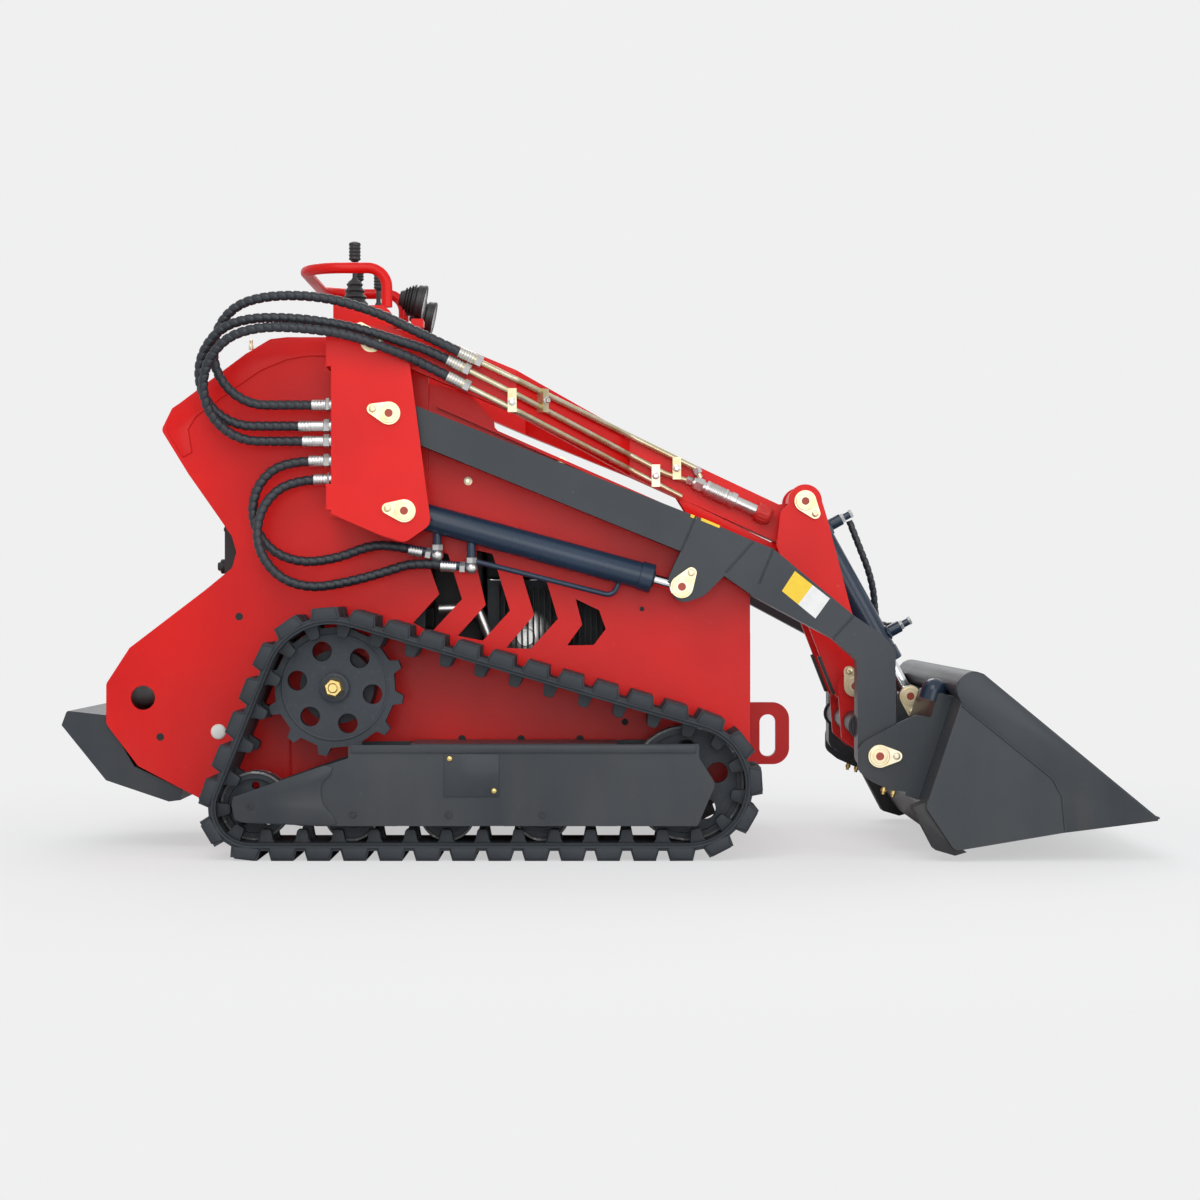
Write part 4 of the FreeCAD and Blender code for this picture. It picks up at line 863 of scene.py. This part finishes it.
plate_work("track_frame_overlays",
           on_both_sides(upper_lip, COVER_FACE, 0.004)
           + on_both_sides(inspection_plate, COVER_FACE - BEDDED, 0.0035)
           + on_both_sides(end_plate, COVER_FACE - BEDDED, 0.0045), grey_enamel, "chassis")
DOME_HEAD = [(-0.001, 0.0062), (0.0012, 0.0060), (0.0034, 0.0046), (0.0046, 0.0022), (0.0046, 0.0)]
CAP_SCREW = [(-0.001, 0.0078), (0.0012, 0.0078), (0.0018, 0.0070), (0.0018, 0.0046), (-0.0005, 0.0042),
             (-0.0005, 0)]
screws = bmesh.new()
sockets = bmesh.new()
for side in (-1, 1):
    for x, z in ((-0.2927, 0.2030), (-0.2044, 0.1389)):
        lathe(screws, (x, side * (COVER_FACE + 0.0025), z), (0, side, 0), DOME_HEAD, 20)
    for x, z, proud in ((-0.6887, 0.1091, 0.0035), (-0.4843, 0.0922, 0), (-0.2945, 0.0912, 0),
                        (-0.1081, 0.0912, 0)):
        lathe(sockets, (x, side * (COVER_FACE + proud), z), (0, side, 0), CAP_SCREW, 24)
finished("inspection_plate_screws", screws, gold_finish, "chassis", 30)
finished("axle_cap_screws", sockets, plastic_finish, "chassis", 30)

# ==== Hydraulic cylinders ====
# Barrels in blue-grey enamel with a screwed gland, a wiper and welded ports;
# the rods are ground and hard chromed. Elbows turn the lift ports back, and
# only the right ones have hoses crimped on.
blue_enamel = enamel("blue_grey_enamel", (0.014, 0.026, 0.048, 1), (0.022, 0.040, 0.072, 1),
                     roughness=0.26, coat=0.30, dusty=0.05)
chrome_finish = two_tone("hard_chrome", 30.0, (0.70, 0.71, 0.73), (0.82, 0.83, 0.85),
                         rough=0.1, drift=0.1, metal=1.0, detail=3.0)
steel_finish = two_tone("bright_steel", 120.0, (0.50, 0.50, 0.49), (0.68, 0.68, 0.67),
                        rough=0.22, drift=0.2, metal=0.9)
wiper_finish = two_tone("rubber_seal", 200.0, (0.012, 0.012, 0.013), (0.024, 0.024, 0.026),
                        rough=0.45, drift=0.2)
dress(blue_enamel, "lift_barrel_right", "lift_barrel_left", "tilt_barrel")
dress(chrome_finish, "lift_rod_right", "lift_rod_left", "tilt_rod", "tilt_piston_head")
dress(steel_finish, "hose_fittings", "quick_coupler")


def collar(bm, start, axis, near, far, radius, rise, inner):
    """Turned band on a tube, chamfered, with a closed end round a rod."""
    lathe(bm, start, axis, [(near - 0.0008, radius - 0.0005), (near, radius + rise * 0.6),
                            (near + 0.0012, radius + rise), (far - 0.0020, radius + rise),
                            (far, radius + rise - 0.0018), (far, inner), (far - 0.0012, inner)], 40)


def hex_nut(bm, start, axis, corner, flats_end, high, top, bore):
    """Hexagon from its start to the end of its flats, chamfered to its top."""
    lathe(bm, start, axis, [(0, corner), (flats_end, corner), (high, top), (high, bore)], 6)


def ferrule(bm, start, axis, long, radius):
    """Crimped sleeve: shallow bands pressed in along a hose's end."""
    bands = [(0, radius - 0.0008), (0.0008, radius + 0.0004)]
    steps = max(2, round(long / 0.006))
    for k in range(steps):
        at = long * (k + 0.2) / steps
        bands += [(at, radius + 0.0010), (at + long * 0.45 / steps, radius + 0.0010),
                  (at + long * 0.55 / steps, radius + 0.0002), (at + long * 0.75 / steps, radius + 0.0002)]
    lathe(bm, start, axis, bands + [(long, radius + 0.0008), (long + 0.0004, radius - 0.0006)], 28)


BARREL_R = 0.028
BALL_R = 0.0130
PORT_BOSS = [(0, 0.0135), (0.012, 0.0135), (0.0145, 0.0120), (0.0145, 0.0085), (0.0125, 0.0085)]
LIFT_WIPER = [(0.5205, 0.0170), (0.5235, 0.0165), (0.5250, 0.0130), (0.5250, 0.0112), (0.5220, 0.0112)]
# Each port's X, the heights of its boss and its elbow, the elbow's heading and its sleeve's length.
LIFT_PORTS = ((-0.327, 0.6705, 0.6095, (-59, 0, 11), 0.029), (-0.257, 0.6505, 0.5830, (-63, 0, 4.5), 0.033))
ball = [(-BALL_R * math.cos(math.pi * k / 12), BALL_R * math.sin(math.pi * k / 12)) for k in range(1, 12)]
lift_axis = (LIFT_EYE - Vector((lift_pin.x, 0, lift_pin.z))).normalized()
for side, hand in HANDS:
    body = "lift_cylinder_" + hand
    base = pivots[body + "_swing"]
    glands = bmesh.new()
    seals = bmesh.new()
    elbows = bmesh.new()
    collar(glands, base, lift_axis, 0.494, 0.5215, BARREL_R, 0.0022, 0.0135)
    collar(glands, base, lift_axis, 0.030, 0.040, BARREL_R, 0.0010, 0.0270)
    lathe(seals, base, lift_axis, LIFT_WIPER, 36)
    for x, boss_z, elbow_z, heading, sleeve in LIFT_PORTS:
        away = Vector(heading).normalized()
        centre = Vector((x, base.y, elbow_z))
        lathe(glands, (x, base.y, boss_z), (0, 0, -1), PORT_BOSS, 28)
        lathe(elbows, centre, away, [(-BALL_R, 0), *ball, (BALL_R, 0)], 28)
        if hand == "right":
            ferrule(elbows, centre + away * 0.030, away, sleeve, 0.0100)
        hex_nut(elbows, centre + away * 0.013, away, 0.0128, 0.010, 0.011, 0.0118, 0.008)
        hex_nut(elbows, centre + Vector((0, 0, 0.010)), (0, 0, 1), 0.0122, 0.011, 0.012, 0.0112, 0.008)
    finished("lift_glands_" + hand, glands, blue_enamel, body, 28)
    finished("lift_wiper_" + hand, seals, wiper_finish, body, 40)
    finished("lift_elbows_" + hand, elbows, steel_finish, body, 28)

TILT_PORTS = (0.072, 0.337)
TILT_BARREL_R = 0.029
TILT_BOSS = [(0.027, 0.0175), (0.0305, 0.0165), (0.0325, 0.0140), (0.0325, 0.0120)]
tilt_axis = (TILT_EYE - crank_top).normalized()
tilt_front = Vector((-tilt_axis.z, 0, tilt_axis.x))
glands = bmesh.new()
seals = bmesh.new()
unions = bmesh.new()
collar(glands, crank_top, tilt_axis, 0.366, 0.3955, TILT_BARREL_R, 0.0022, 0.0175)
collar(glands, crank_top, tilt_axis, 0.0635, 0.092, TILT_BARREL_R, 0.0012, 0.0280)
lathe(seals, crank_top, tilt_axis, [(0.3935, 0.0215), (0.3958, 0.0210), (0.3962, 0.0175), (0.3962, 0.0152),
                                    (0.3940, 0.0152)], 36)
for s in TILT_PORTS:
    at = crank_top + tilt_axis * s
    lathe(glands, at, tilt_front, TILT_BOSS, 28)
    hex_nut(unions, at + tilt_front * 0.0575, tilt_front, 0.0105, 0.0070, 0.0078, 0.0096, 0.007)
    hex_nut(unions, at + tilt_front * 0.079, tilt_front, 0.0098, 0.0050, 0.0062, 0.0082, 0)
finished("tilt_glands", glands, blue_enamel, "tilt_cylinder", 28)
finished("tilt_wiper", seals, wiper_finish, "tilt_cylinder", 40)
finished("tilt_port_unions", unions, steel_finish, "tilt_cylinder", 28)

# ==== Bulkhead fittings ====
# Where the five hoses leave the right tower: a lock nut against the flange and
# a crimped ferrule over each hose's end.
BULKHEAD = -0.547
crimps = bmesh.new()
for *_, points in tower_hoses.values():
    start = Vector(points[0]) * MM
    nut_end = min(0.012, BULKHEAD - start.x - 0.002)
    hex_nut(crimps, (BULKHEAD + 0.0005, start.y, start.z), (-1, 0, 0),
            0.0145, nut_end - 0.0015, nut_end, 0.0130, 0.0100)
    ferrule(crimps, start + Vector((0.0008, 0, 0)), (-1, 0, 0), 0.026, 0.0108)
finished("bulkhead_crimps", crimps, steel_finish, "chassis", 28)

# ==== Link pipes ====
# Three plated pipes, crimped to the hoses, clamped to the link's right side and
# joined to the auxiliary coupler with its dust cap. Gussets close the corner
# under the link's nose.
pipe_finish = Finish("plated_pipe")
haze = pipe_finish.noise(24.0)
pipe_tone = pipe_finish.mix(haze.between(0.35, 0.65), (0.52, 0.44, 0.25, 1), (0.64, 0.60, 0.46, 1))
pipe_finish.surface({"Base Color": pipe_tone, "Metallic": 0.75,
                     "Roughness": pipe_finish.noise(90.0, 3.0) * 0.18 + 0.2})
dress(pipe_finish, "beam_pipes", "pipe_clamps")
PIPE_Y = -0.374
NOSE_Y = -0.057
crimps = bmesh.new()
for x, z, heading in ((-0.276, 1.019, (0.111, 0.012, -0.053)), (-0.300, 1.003, (0.135, 0.012, -0.067)),
                      (-0.300, 0.970, (0.135, 0.012, -0.067))):
    start = Vector((x, PIPE_Y, z))
    along = Vector(heading).normalized()
    ferrule(crimps, start - along * 0.004, along, 0.034, 0.0108)
    hex_nut(crimps, start + along * 0.034, along, 0.0128, 0.012, 0.0135, 0.0112, 0.006)
for x, z, along in ((0.212, 0.801, (0.43, 0, -0.90)), (0.192, 0.7755, (0.95, 0, -0.30))):
    hex_nut(crimps, (x, NOSE_Y, z), along, 0.0100, 0.012, 0.0132, 0.0088, 0.006)
finished("pipe_crimps", crimps, steel_finish, "upper_link", 28)
nose_corner = [(0.170, 0.742), (0.196, 0.700), (0.362, 0.617), (0.396, 0.632)]
plate_work("link_gussets", on_both_sides(nose_corner, 0.037, 0.008), red_enamel, "upper_link")
clamp_bolts = bmesh.new()
for spot, out in (((-0.172, -0.3712, 0.9195), (0, -1, 0)), ((-0.1049, -0.2987, 0.928), (0.792, -0.610, 0)),
                  ((0.126, -0.0662, 0.785), (0, -1, 0)), ((0.171, -0.0662, 0.801), (0, -1, 0))):
    hex_bolt(clamp_bolts, spot, out, 0.010, 0.008)
finished("clamp_bolts", clamp_bolts, steel_finish, "upper_link")

GROOVES = 9
GROOVE_PITCH = 0.0042
SLEEVE_R = 0.0180
RIBS = 16
coupler_from = Vector((0.206, -0.0585, 0.771))
coupler_way = Vector((165, 0, -75)).normalized()
sleeve = [(0.028, 0.0125), (0.029, 0.0176), (0.034, SLEEVE_R)]
for k in range(GROOVES):
    at = 0.036 + GROOVE_PITCH * k
    sleeve += [(at, SLEEVE_R), (at + 0.0008, 0.0166), (at + 0.0024, 0.0166), (at + 0.0032, SLEEVE_R)]
sleeve += [(0.078, SLEEVE_R), (0.080, 0.0156), (0.086, 0.0156), (0.087, 0.0176), (0.100, 0.0176),
           (0.102, 0.0125)]
coupler = bmesh.new()
lathe(coupler, coupler_from, coupler_way, sleeve, 36)
lathe(coupler, coupler_from, coupler_way, [(0.004, 0.0125), (0.005, 0.0160), (0.021, 0.0160),
                                           (0.023, 0.0146), (0.023, 0.0125)], 6)
finished("coupler_sleeve", coupler, steel_finish, "upper_link", 28)
cap_finish = two_tone("red_dust_cap", 60.0, (0.50, 0.015, 0.012), (0.62, 0.026, 0.02),
                      rough=0.38, drift=0.15)
cap = bmesh.new()
lathe(cap, coupler_from, coupler_way, [
    (0.148, 0.0150), (0.149, 0.0195), (0.153, 0.0205), (0.155, 0.0192), (0.172, 0.0192), (0.180, 0.0175),
    (0.184, 0.0135), (0.184, 0.0)], 32)
across = coupler_way.orthogonal().normalized()
for k in range(RIBS):
    rib = rim_point(coupler_from + coupler_way * 0.156, across, coupler_way.cross(across),
                    2 * math.pi * k / RIBS, 0.0190)
    lathe(cap, rib, coupler_way, [(0, 0.0009), (0.002, 0.0014), (0.015, 0.0013), (0.018, 0.0005)], 8)
finished("coupler_dust_cap", cap, cap_finish, "upper_link", 40)

# ==== Controls and lamps ====
# Levers in pleated rubber boots on a black moulded base, and two ribbed work
# lamps with a polished reflector behind a clear lens.
dress(plastic_finish, "work_lamps", "control_levers", "rear_unit")
CONSOLE_TOP = 1.128
base_top = CONSOLE_TOP + 0.005
base_foot = CONSOLE_TOP - 0.002
lever_base = [(-0.544, base_foot), (-0.440, base_foot), (-0.443, base_top), (-0.541, base_top)]
plate_work("lever_base", [(lever_base, -0.165, 0.165)], plastic_finish, "chassis", 0.0022, 3, 40)
# Each lever's X, Y and top, its boot's radius and height, its grip's radius and height.
LEVERS = ((-0.516, -0.110, 1.280, 0.030, 0.068, 0.011, 0.044),
          (-0.512, -0.070, 1.236, 0.020, 0.040, 0.010, 0.038),
          (-0.484, 0.100, 1.243, 0.020, 0.040, 0.009, 0.042))
GRIP_BANDS = 4
pleats = bmesh.new()
for x, y, top, boot_r, boot_h, grip_r, grip_h in LEVERS:
    count = max(3, round(boot_h / 0.013))
    boot = [(0.0, boot_r + 0.004), (0.003, boot_r + 0.0045), (0.005, boot_r + 0.002)]
    for k in range(count):
        r = boot_r * (1 - 0.6 * (k + 0.5) / count)
        boot += [(boot_h * (k + 0.15) / count, r + 0.0008), (boot_h * (k + 0.5) / count, r + 0.0042),
                 (boot_h * (k + 0.85) / count, r + 0.0004)]
    boot += [(boot_h, boot_r * 0.4 + 0.001), (boot_h + 0.004, 0.0075), (boot_h + 0.008, 0.0055)]
    lathe(pleats, (x, y, CONSOLE_TOP), (0, 0, 1), boot, 36)
    foot = top - grip_h + 0.004 - CONSOLE_TOP
    banded = grip_h - 0.014
    grip = [(foot, grip_r - 0.003), (foot + 0.002, grip_r + 0.0012)]
    for k in range(GRIP_BANDS):
        at = foot + 0.004 + banded * k / GRIP_BANDS
        grip += [(at, grip_r + 0.0018), (at + banded / GRIP_BANDS / 2, grip_r + 0.0002)]
    grip += [(foot + grip_h - 0.010, grip_r + 0.0018), (foot + grip_h - 0.006, grip_r + 0.0006),
             (foot + grip_h - 0.0035, grip_r * 0.55), (foot + grip_h - 0.0028, 0)]
    lathe(pleats, (x, y, CONSOLE_TOP), (0, 0, 1), grip, 32)
finished("lever_boots_and_grips", pleats, plastic_finish, "chassis", 40)

reflector_finish = two_tone("polished_reflector", 260.0, (0.62, 0.63, 0.66), (0.86, 0.87, 0.90),
                            rough=0.08, drift=0.12, metal=1.0, relief=(260.0, 1.0, 0.002, 0.6), detail=1.0)
lens_finish = Finish("clear_lens")
lens_ripple = lens_finish.noise(40.0, 1.0)
lens_finish.surface({"Base Color": (0.88, 0.90, 0.93, 1), "Roughness": lens_ripple * 0.06 + 0.04,
                     "Alpha": 0.28, "Coat Weight": 0.6, "Coat Roughness": 0.04})
LAMP_TILT = math.radians(12)
BEZEL = [(-0.003, 0.0355), (-0.002, 0.0375), (0.002, 0.0375), (0.004, 0.0360), (0.004, 0.0325),
         (0.0008, 0.0310), (0.0002, 0.0310)]
BOWL = [(0.0002, 0.0312), (0.0009, 0.0310), (0.0009, 0.022), (0.0007, 0.0205), (0.0016, 0.019),
        (0.0009, 0.012), (0.0018, 0.010), (0.0012, 0.004), (0.0020, 0)]
LENS = [(0.0024, 0.0322), (0.0030, 0.0322), (0.0045, 0.020), (0.0052, 0.0)]
LAMP_FINS = 4
LAMP_FIN_R = 0.0345
TAPER_FROM = -0.022
TAPER = 0.62
lamp_axis = Vector((math.cos(LAMP_TILT), 0, -math.sin(LAMP_TILT)))
bezels = bmesh.new()
bowls = bmesh.new()
lenses = bmesh.new()
for side in (-1, 1):
    face = Vector((-0.368, side * 0.150, 1.146))
    lathe(bezels, face, lamp_axis, BEZEL, 48)
    for k in range(LAMP_FINS):
        at = -0.0205 - 0.006 * k
        r = LAMP_FIN_R + min(0, at - TAPER_FROM) * TAPER
        lathe(bezels, face, lamp_axis, [(at - 0.0016, 0.016), (at - 0.0012, r), (at + 0.0008, r + 0.0006),
                                        (at + 0.0016, 0.016)], 40)
    lathe(bowls, face, lamp_axis, BOWL, 48)
    lathe(lenses, face, lamp_axis, LENS, 48)
    lathe(bezels, face - lamp_axis * 0.030 - Vector((0, 0, 0.026)), (0, 0, -1),
          [(-0.012, 0.007), (0.006, 0.007), (0.0075, 0.0055), (0.0075, 0)], 20)
finished("lamp_bezels_and_fins", bezels, plastic_finish, "chassis", 30)
finished("lamp_reflectors", bowls, reflector_finish, "chassis", 30)
finished("lamp_lenses", lenses, lens_finish, "chassis", 30)
nuts = bmesh.new()
for side in (-1, 1):
    for y in (0.142, 0.166):
        hex_bolt(nuts, (-0.409, side * y, 1.098), (0, 0, 1), 0.010, 0.009)
    for x in (-0.536, -0.452):
        lathe(nuts, (x, side * 0.155, CONSOLE_TOP + 0.0048), (0, 0, 1), DOME_HEAD, 20)
finished("console_screws", nuts, steel_finish, "chassis")

# ==== Boom arms ====
# Folded plate arms with lapped gussets and welded seams, a cross tube welded
# between them and blank labels on both outer faces. Black strips on the rear
# edges of the crank that hangs from them are painted shade.
TUBE_AT = (0.548, 0.259)
TUBE_R = 0.0275
SEAMS = (((0.2007, 0.6884), (0.1703, 0.6174)), ((0.3184, 0.6377), (0.2616, 0.5748)),
         ((0.3584, 0.6221), (0.3294, 0.5517)), ((0.5213, 0.4868), (0.4785, 0.4391)))
seams = bmesh.new()
for side in (-1, 1):
    for line in SEAMS:
        weld_bead(seams, [(x, side * 0.3602, z) for x, z in line], 0.0022)
    angles = [k * math.pi / 18 for k in range(37)]
    weld_bead(seams, [(TUBE_AT[0] + TUBE_R * math.cos(a), side * 0.2895, TUBE_AT[1] + TUBE_R * math.sin(a))
                      for a in angles], 0.0035)
finished("arm_weld_seams", seams, grey_enamel, "boom", 60)
label_finish = Finish("blank_label")
wear = label_finish.noise(50.0, 5.0)
label_tone = label_finish.mix(wear.between(0.45, 0.75), (0.76, 0.76, 0.75, 1), (0.68, 0.68, 0.67, 1))
label_finish.surface({"Base Color": label_tone, "Roughness": wear * 0.2 + 0.3})
yellow_finish = two_tone("blank_yellow_label", 50.0, (0.78, 0.50, 0.01), (0.86, 0.60, 0.02),
                         rough=0.3, drift=0.2, detail=5.0)
WHITE_LABEL = [(0.4085, 0.5090), (0.4432, 0.4805), (0.4726, 0.5210), (0.4379, 0.5483)]
YELLOW_LABELS = ([(0.3752, 0.5363), (0.4085, 0.5090), (0.4379, 0.5483), (0.4016, 0.5768)],
                 [(0.2120, 0.6850), (0.2105, 0.6795), (0.2480, 0.6640), (0.2500, 0.6690)],
                 [(0.1905, 0.6925), (0.1895, 0.6865), (0.2010, 0.6820), (0.2025, 0.6875)])
for name, outlines, finish in (("arm_blank_labels", [WHITE_LABEL], label_finish),
                               ("arm_yellow_labels", YELLOW_LABELS, yellow_finish)):
    labels = bmesh.new()
    for outline in outlines:
        for sheet in on_both_sides(outline, 0.3598, 0.0006):
            plate(labels, *sheet)
    finished(name, labels, finish, "boom", 30)

# Black strips on the crank plates' rear edges paint the shade that falls on those edges.
painted_shade_strip = [(0.4705, 0.3965), (0.4767, 0.3985), (0.5080, 0.3175), (0.5020, 0.3155)]
plate_work("crank_stop_pads", on_both_sides(painted_shade_strip, 0.080, 0.020), plastic_finish, "crank")

# ==== Bucket and its quick-attach ====
# Rolled bucket shell with welded side cutters and a bolted-down edge; the
# quick-attach plate has sprung lock domes.
side_cutter = [(0.7219, 0.3118), (0.7120, 0.3300), (0.7100, 0.3450), (0.7150, 0.3600), (0.7250, 0.3710),
               (0.7400, 0.3765), (0.7640, 0.3700), (1.1060, 0.0870), (1.1060, 0.0830), (0.9261, 0.0595),
               (0.9192, 0.1313), (0.9003, 0.1670)]
lip_edge = [(0.9300, 0.0655), (1.1000, 0.0835), (1.1120, 0.0850), (1.1120, 0.0890), (1.0950, 0.0935),
            (0.9300, 0.0740)]
plate_work("bucket_cutters", on_both_sides(side_cutter, 0.4995, 0.0035) + [(lip_edge, -0.4985, 0.4985)],
           grey_enamel, "bucket_carrier")
CUTTER_WELD = ((0.7210, 0.3100), (0.9000, 0.1655), (0.9185, 0.1305), (0.9255, 0.0600))
SHELL_WELD = ((0.740, 0.370), (0.722, 0.322), (0.665, 0.110), (0.715, 0.034), (0.92, 0.0665))
beads = bmesh.new()
for side in (-1, 1):
    weld_bead(beads, [(x, side * 0.5005, z) for x, z in CUTTER_WELD], 0.0026)
    weld_bead(beads, [(x, side * 0.4935, z) for x, z in SHELL_WELD], 0.003)
finished("bucket_weld_beads", beads, grey_enamel, "bucket_carrier", 60)
# Three black ribs a side, low on the bucket's back: painted shade for the attach plate's shadowed lower
# edges.
heel_rib = [(0.6490, 0.1180), (0.6250, 0.1075), (0.6690, 0.0235), (0.7080, 0.0120), (0.7320, 0.0190),
            (0.7120, 0.0300)]
RIB_FACES = (0.482, 0.458, 0.434)
RIB_T = 0.010
heel_ribs = [rib for y in RIB_FACES for rib in on_both_sides(heel_rib, y, RIB_T)]
plate_work("bucket_heel_ribs", heel_ribs, plastic_finish, "bucket_carrier")
LOCK_AXIS = (0.30, 0, 0.954)
EDGE_BOLT = [(-0.006, 0.0045), (0.004, 0.0045), (0.004, 0.0062), (0.010, 0.0062), (0.011, 0.0040),
             (0.016, 0.0036), (0.016, 0)]
domes = bmesh.new()
bolts = bmesh.new()
for side in (-1, 1):
    lathe(domes, (0.688, side * 0.330, 0.330), LOCK_AXIS, [
        (-0.018, 0.027), (0.002, 0.027), (0.006, 0.0265), (0.014, 0.0240), (0.022, 0.0180),
        (0.0270, 0.0100), (0.0290, 0)], 32)
    for x, z in ((0.5825, 0.1400), (0.6020, 0.1345)):
        lathe(bolts, (x, side * 0.369, z), (-0.22, 0, -0.975), EDGE_BOLT, 12)
    lathe(bolts, (0.706, side * 0.345, 0.318), LOCK_AXIS,
          [(-0.004, 0.010), (0.006, 0.010), (0.0075, 0.008), (0.0075, 0)], 24)
finished("lock_domes", domes, blue_enamel, "bucket_carrier", 35)
finished("attach_bolts", bolts, gold_finish, "bucket_carrier")

# ==== Engine bay and tail ====
# A finned crankcase in its cowl, with round covers and hard lines that show
# through the slots in the hull's sides, and the small fittings at the back. The
# crankcase, fins and cowl are near black, which is painted shade inside the hull.
# Near-black iron whose darkness paints the shade inside the hull.
bay_shade_iron = two_tone("engine_bay_shade_iron", 26.0, (0.010, 0.010, 0.011), (0.036, 0.035, 0.034),
                      rough=0.5, drift=0.2, metal=0.2, relief=(400.0, 2.0, 0.0005, 0.6))
FINS = 24
FIN_PITCH = 0.012
fin = bmesh.new()
plate(fin, [(-0.0018, -0.085), (0.0018, -0.085), (0.0012, 0.085), (-0.0012, 0.085)], -0.022, 0.022)
softened(fin, 0.0006, 1)
fins = [((-0.205 + FIN_PITCH * k, side * 0.190, 0.465 - FIN_PITCH / 10 * k), (0, 0, 0))
        for side in (-1, 1) for k in range(FINS)]
repeated("crankcase_fins", fin, fins, bay_shade_iron, "chassis", 30)
fan_cowl = [(-0.345, 0.400), (-0.240, 0.400), (-0.240, 0.720), (-0.345, 0.720)]
top_cowl = [(-0.235, 0.563), (0.135, 0.563), (0.060, 0.640), (-0.235, 0.720)]
plate_work("engine_cowl", [(fan_cowl, -0.165, 0.165), (top_cowl, -0.150, 0.150)], bay_shade_iron, "chassis",
           0.006, 3)
HARD_LINES = ((((-0.33, 0.50), (-0.25, 0.50), (-0.215, 0.42), (-0.10, 0.385), (0.05, 0.385)), 0.011),
              (((-0.34, 0.40), (-0.27, 0.40), (-0.24, 0.345), (-0.06, 0.345)), 0.008))
bay = bmesh.new()
for side in (-1, 1):
    for points, radius in HARD_LINES:
        path = even_steps([Vector((x, side * 0.215, z)) for x, z in points], 0.008)
        swept(bay, path, lambda angle, i: radius, 16)
    lathe(bay, (-0.150, side * 0.168, 0.44), (0, side, 0), [
        (0, 0.060), (0.012, 0.060), (0.018, 0.052), (0.020, 0.020), (0.026, 0.018), (0.026, 0)], 40)
finished("engine_bay_lines", bay, steel_finish, "chassis", 40)
tail = bmesh.new()
lathe(tail, (-0.805, -0.060, 0.590), (-1, 0, 0), [
    (-0.004, 0.0158), (0.001, 0.0158), (0.003, 0.0140), (0.003, 0.010), (0.008, 0.009), (0.0095, 0.0075),
    (0.0095, 0)], 28)
for y in (-0.115, 0.115):
    for z in (0.540, 0.668):
        lathe(tail, (-0.7895, y, z), (-1, 0, 0), DOME_HEAD, 16)
finished("control_box_knob_and_screws", tail, plastic_finish, "chassis", 30)
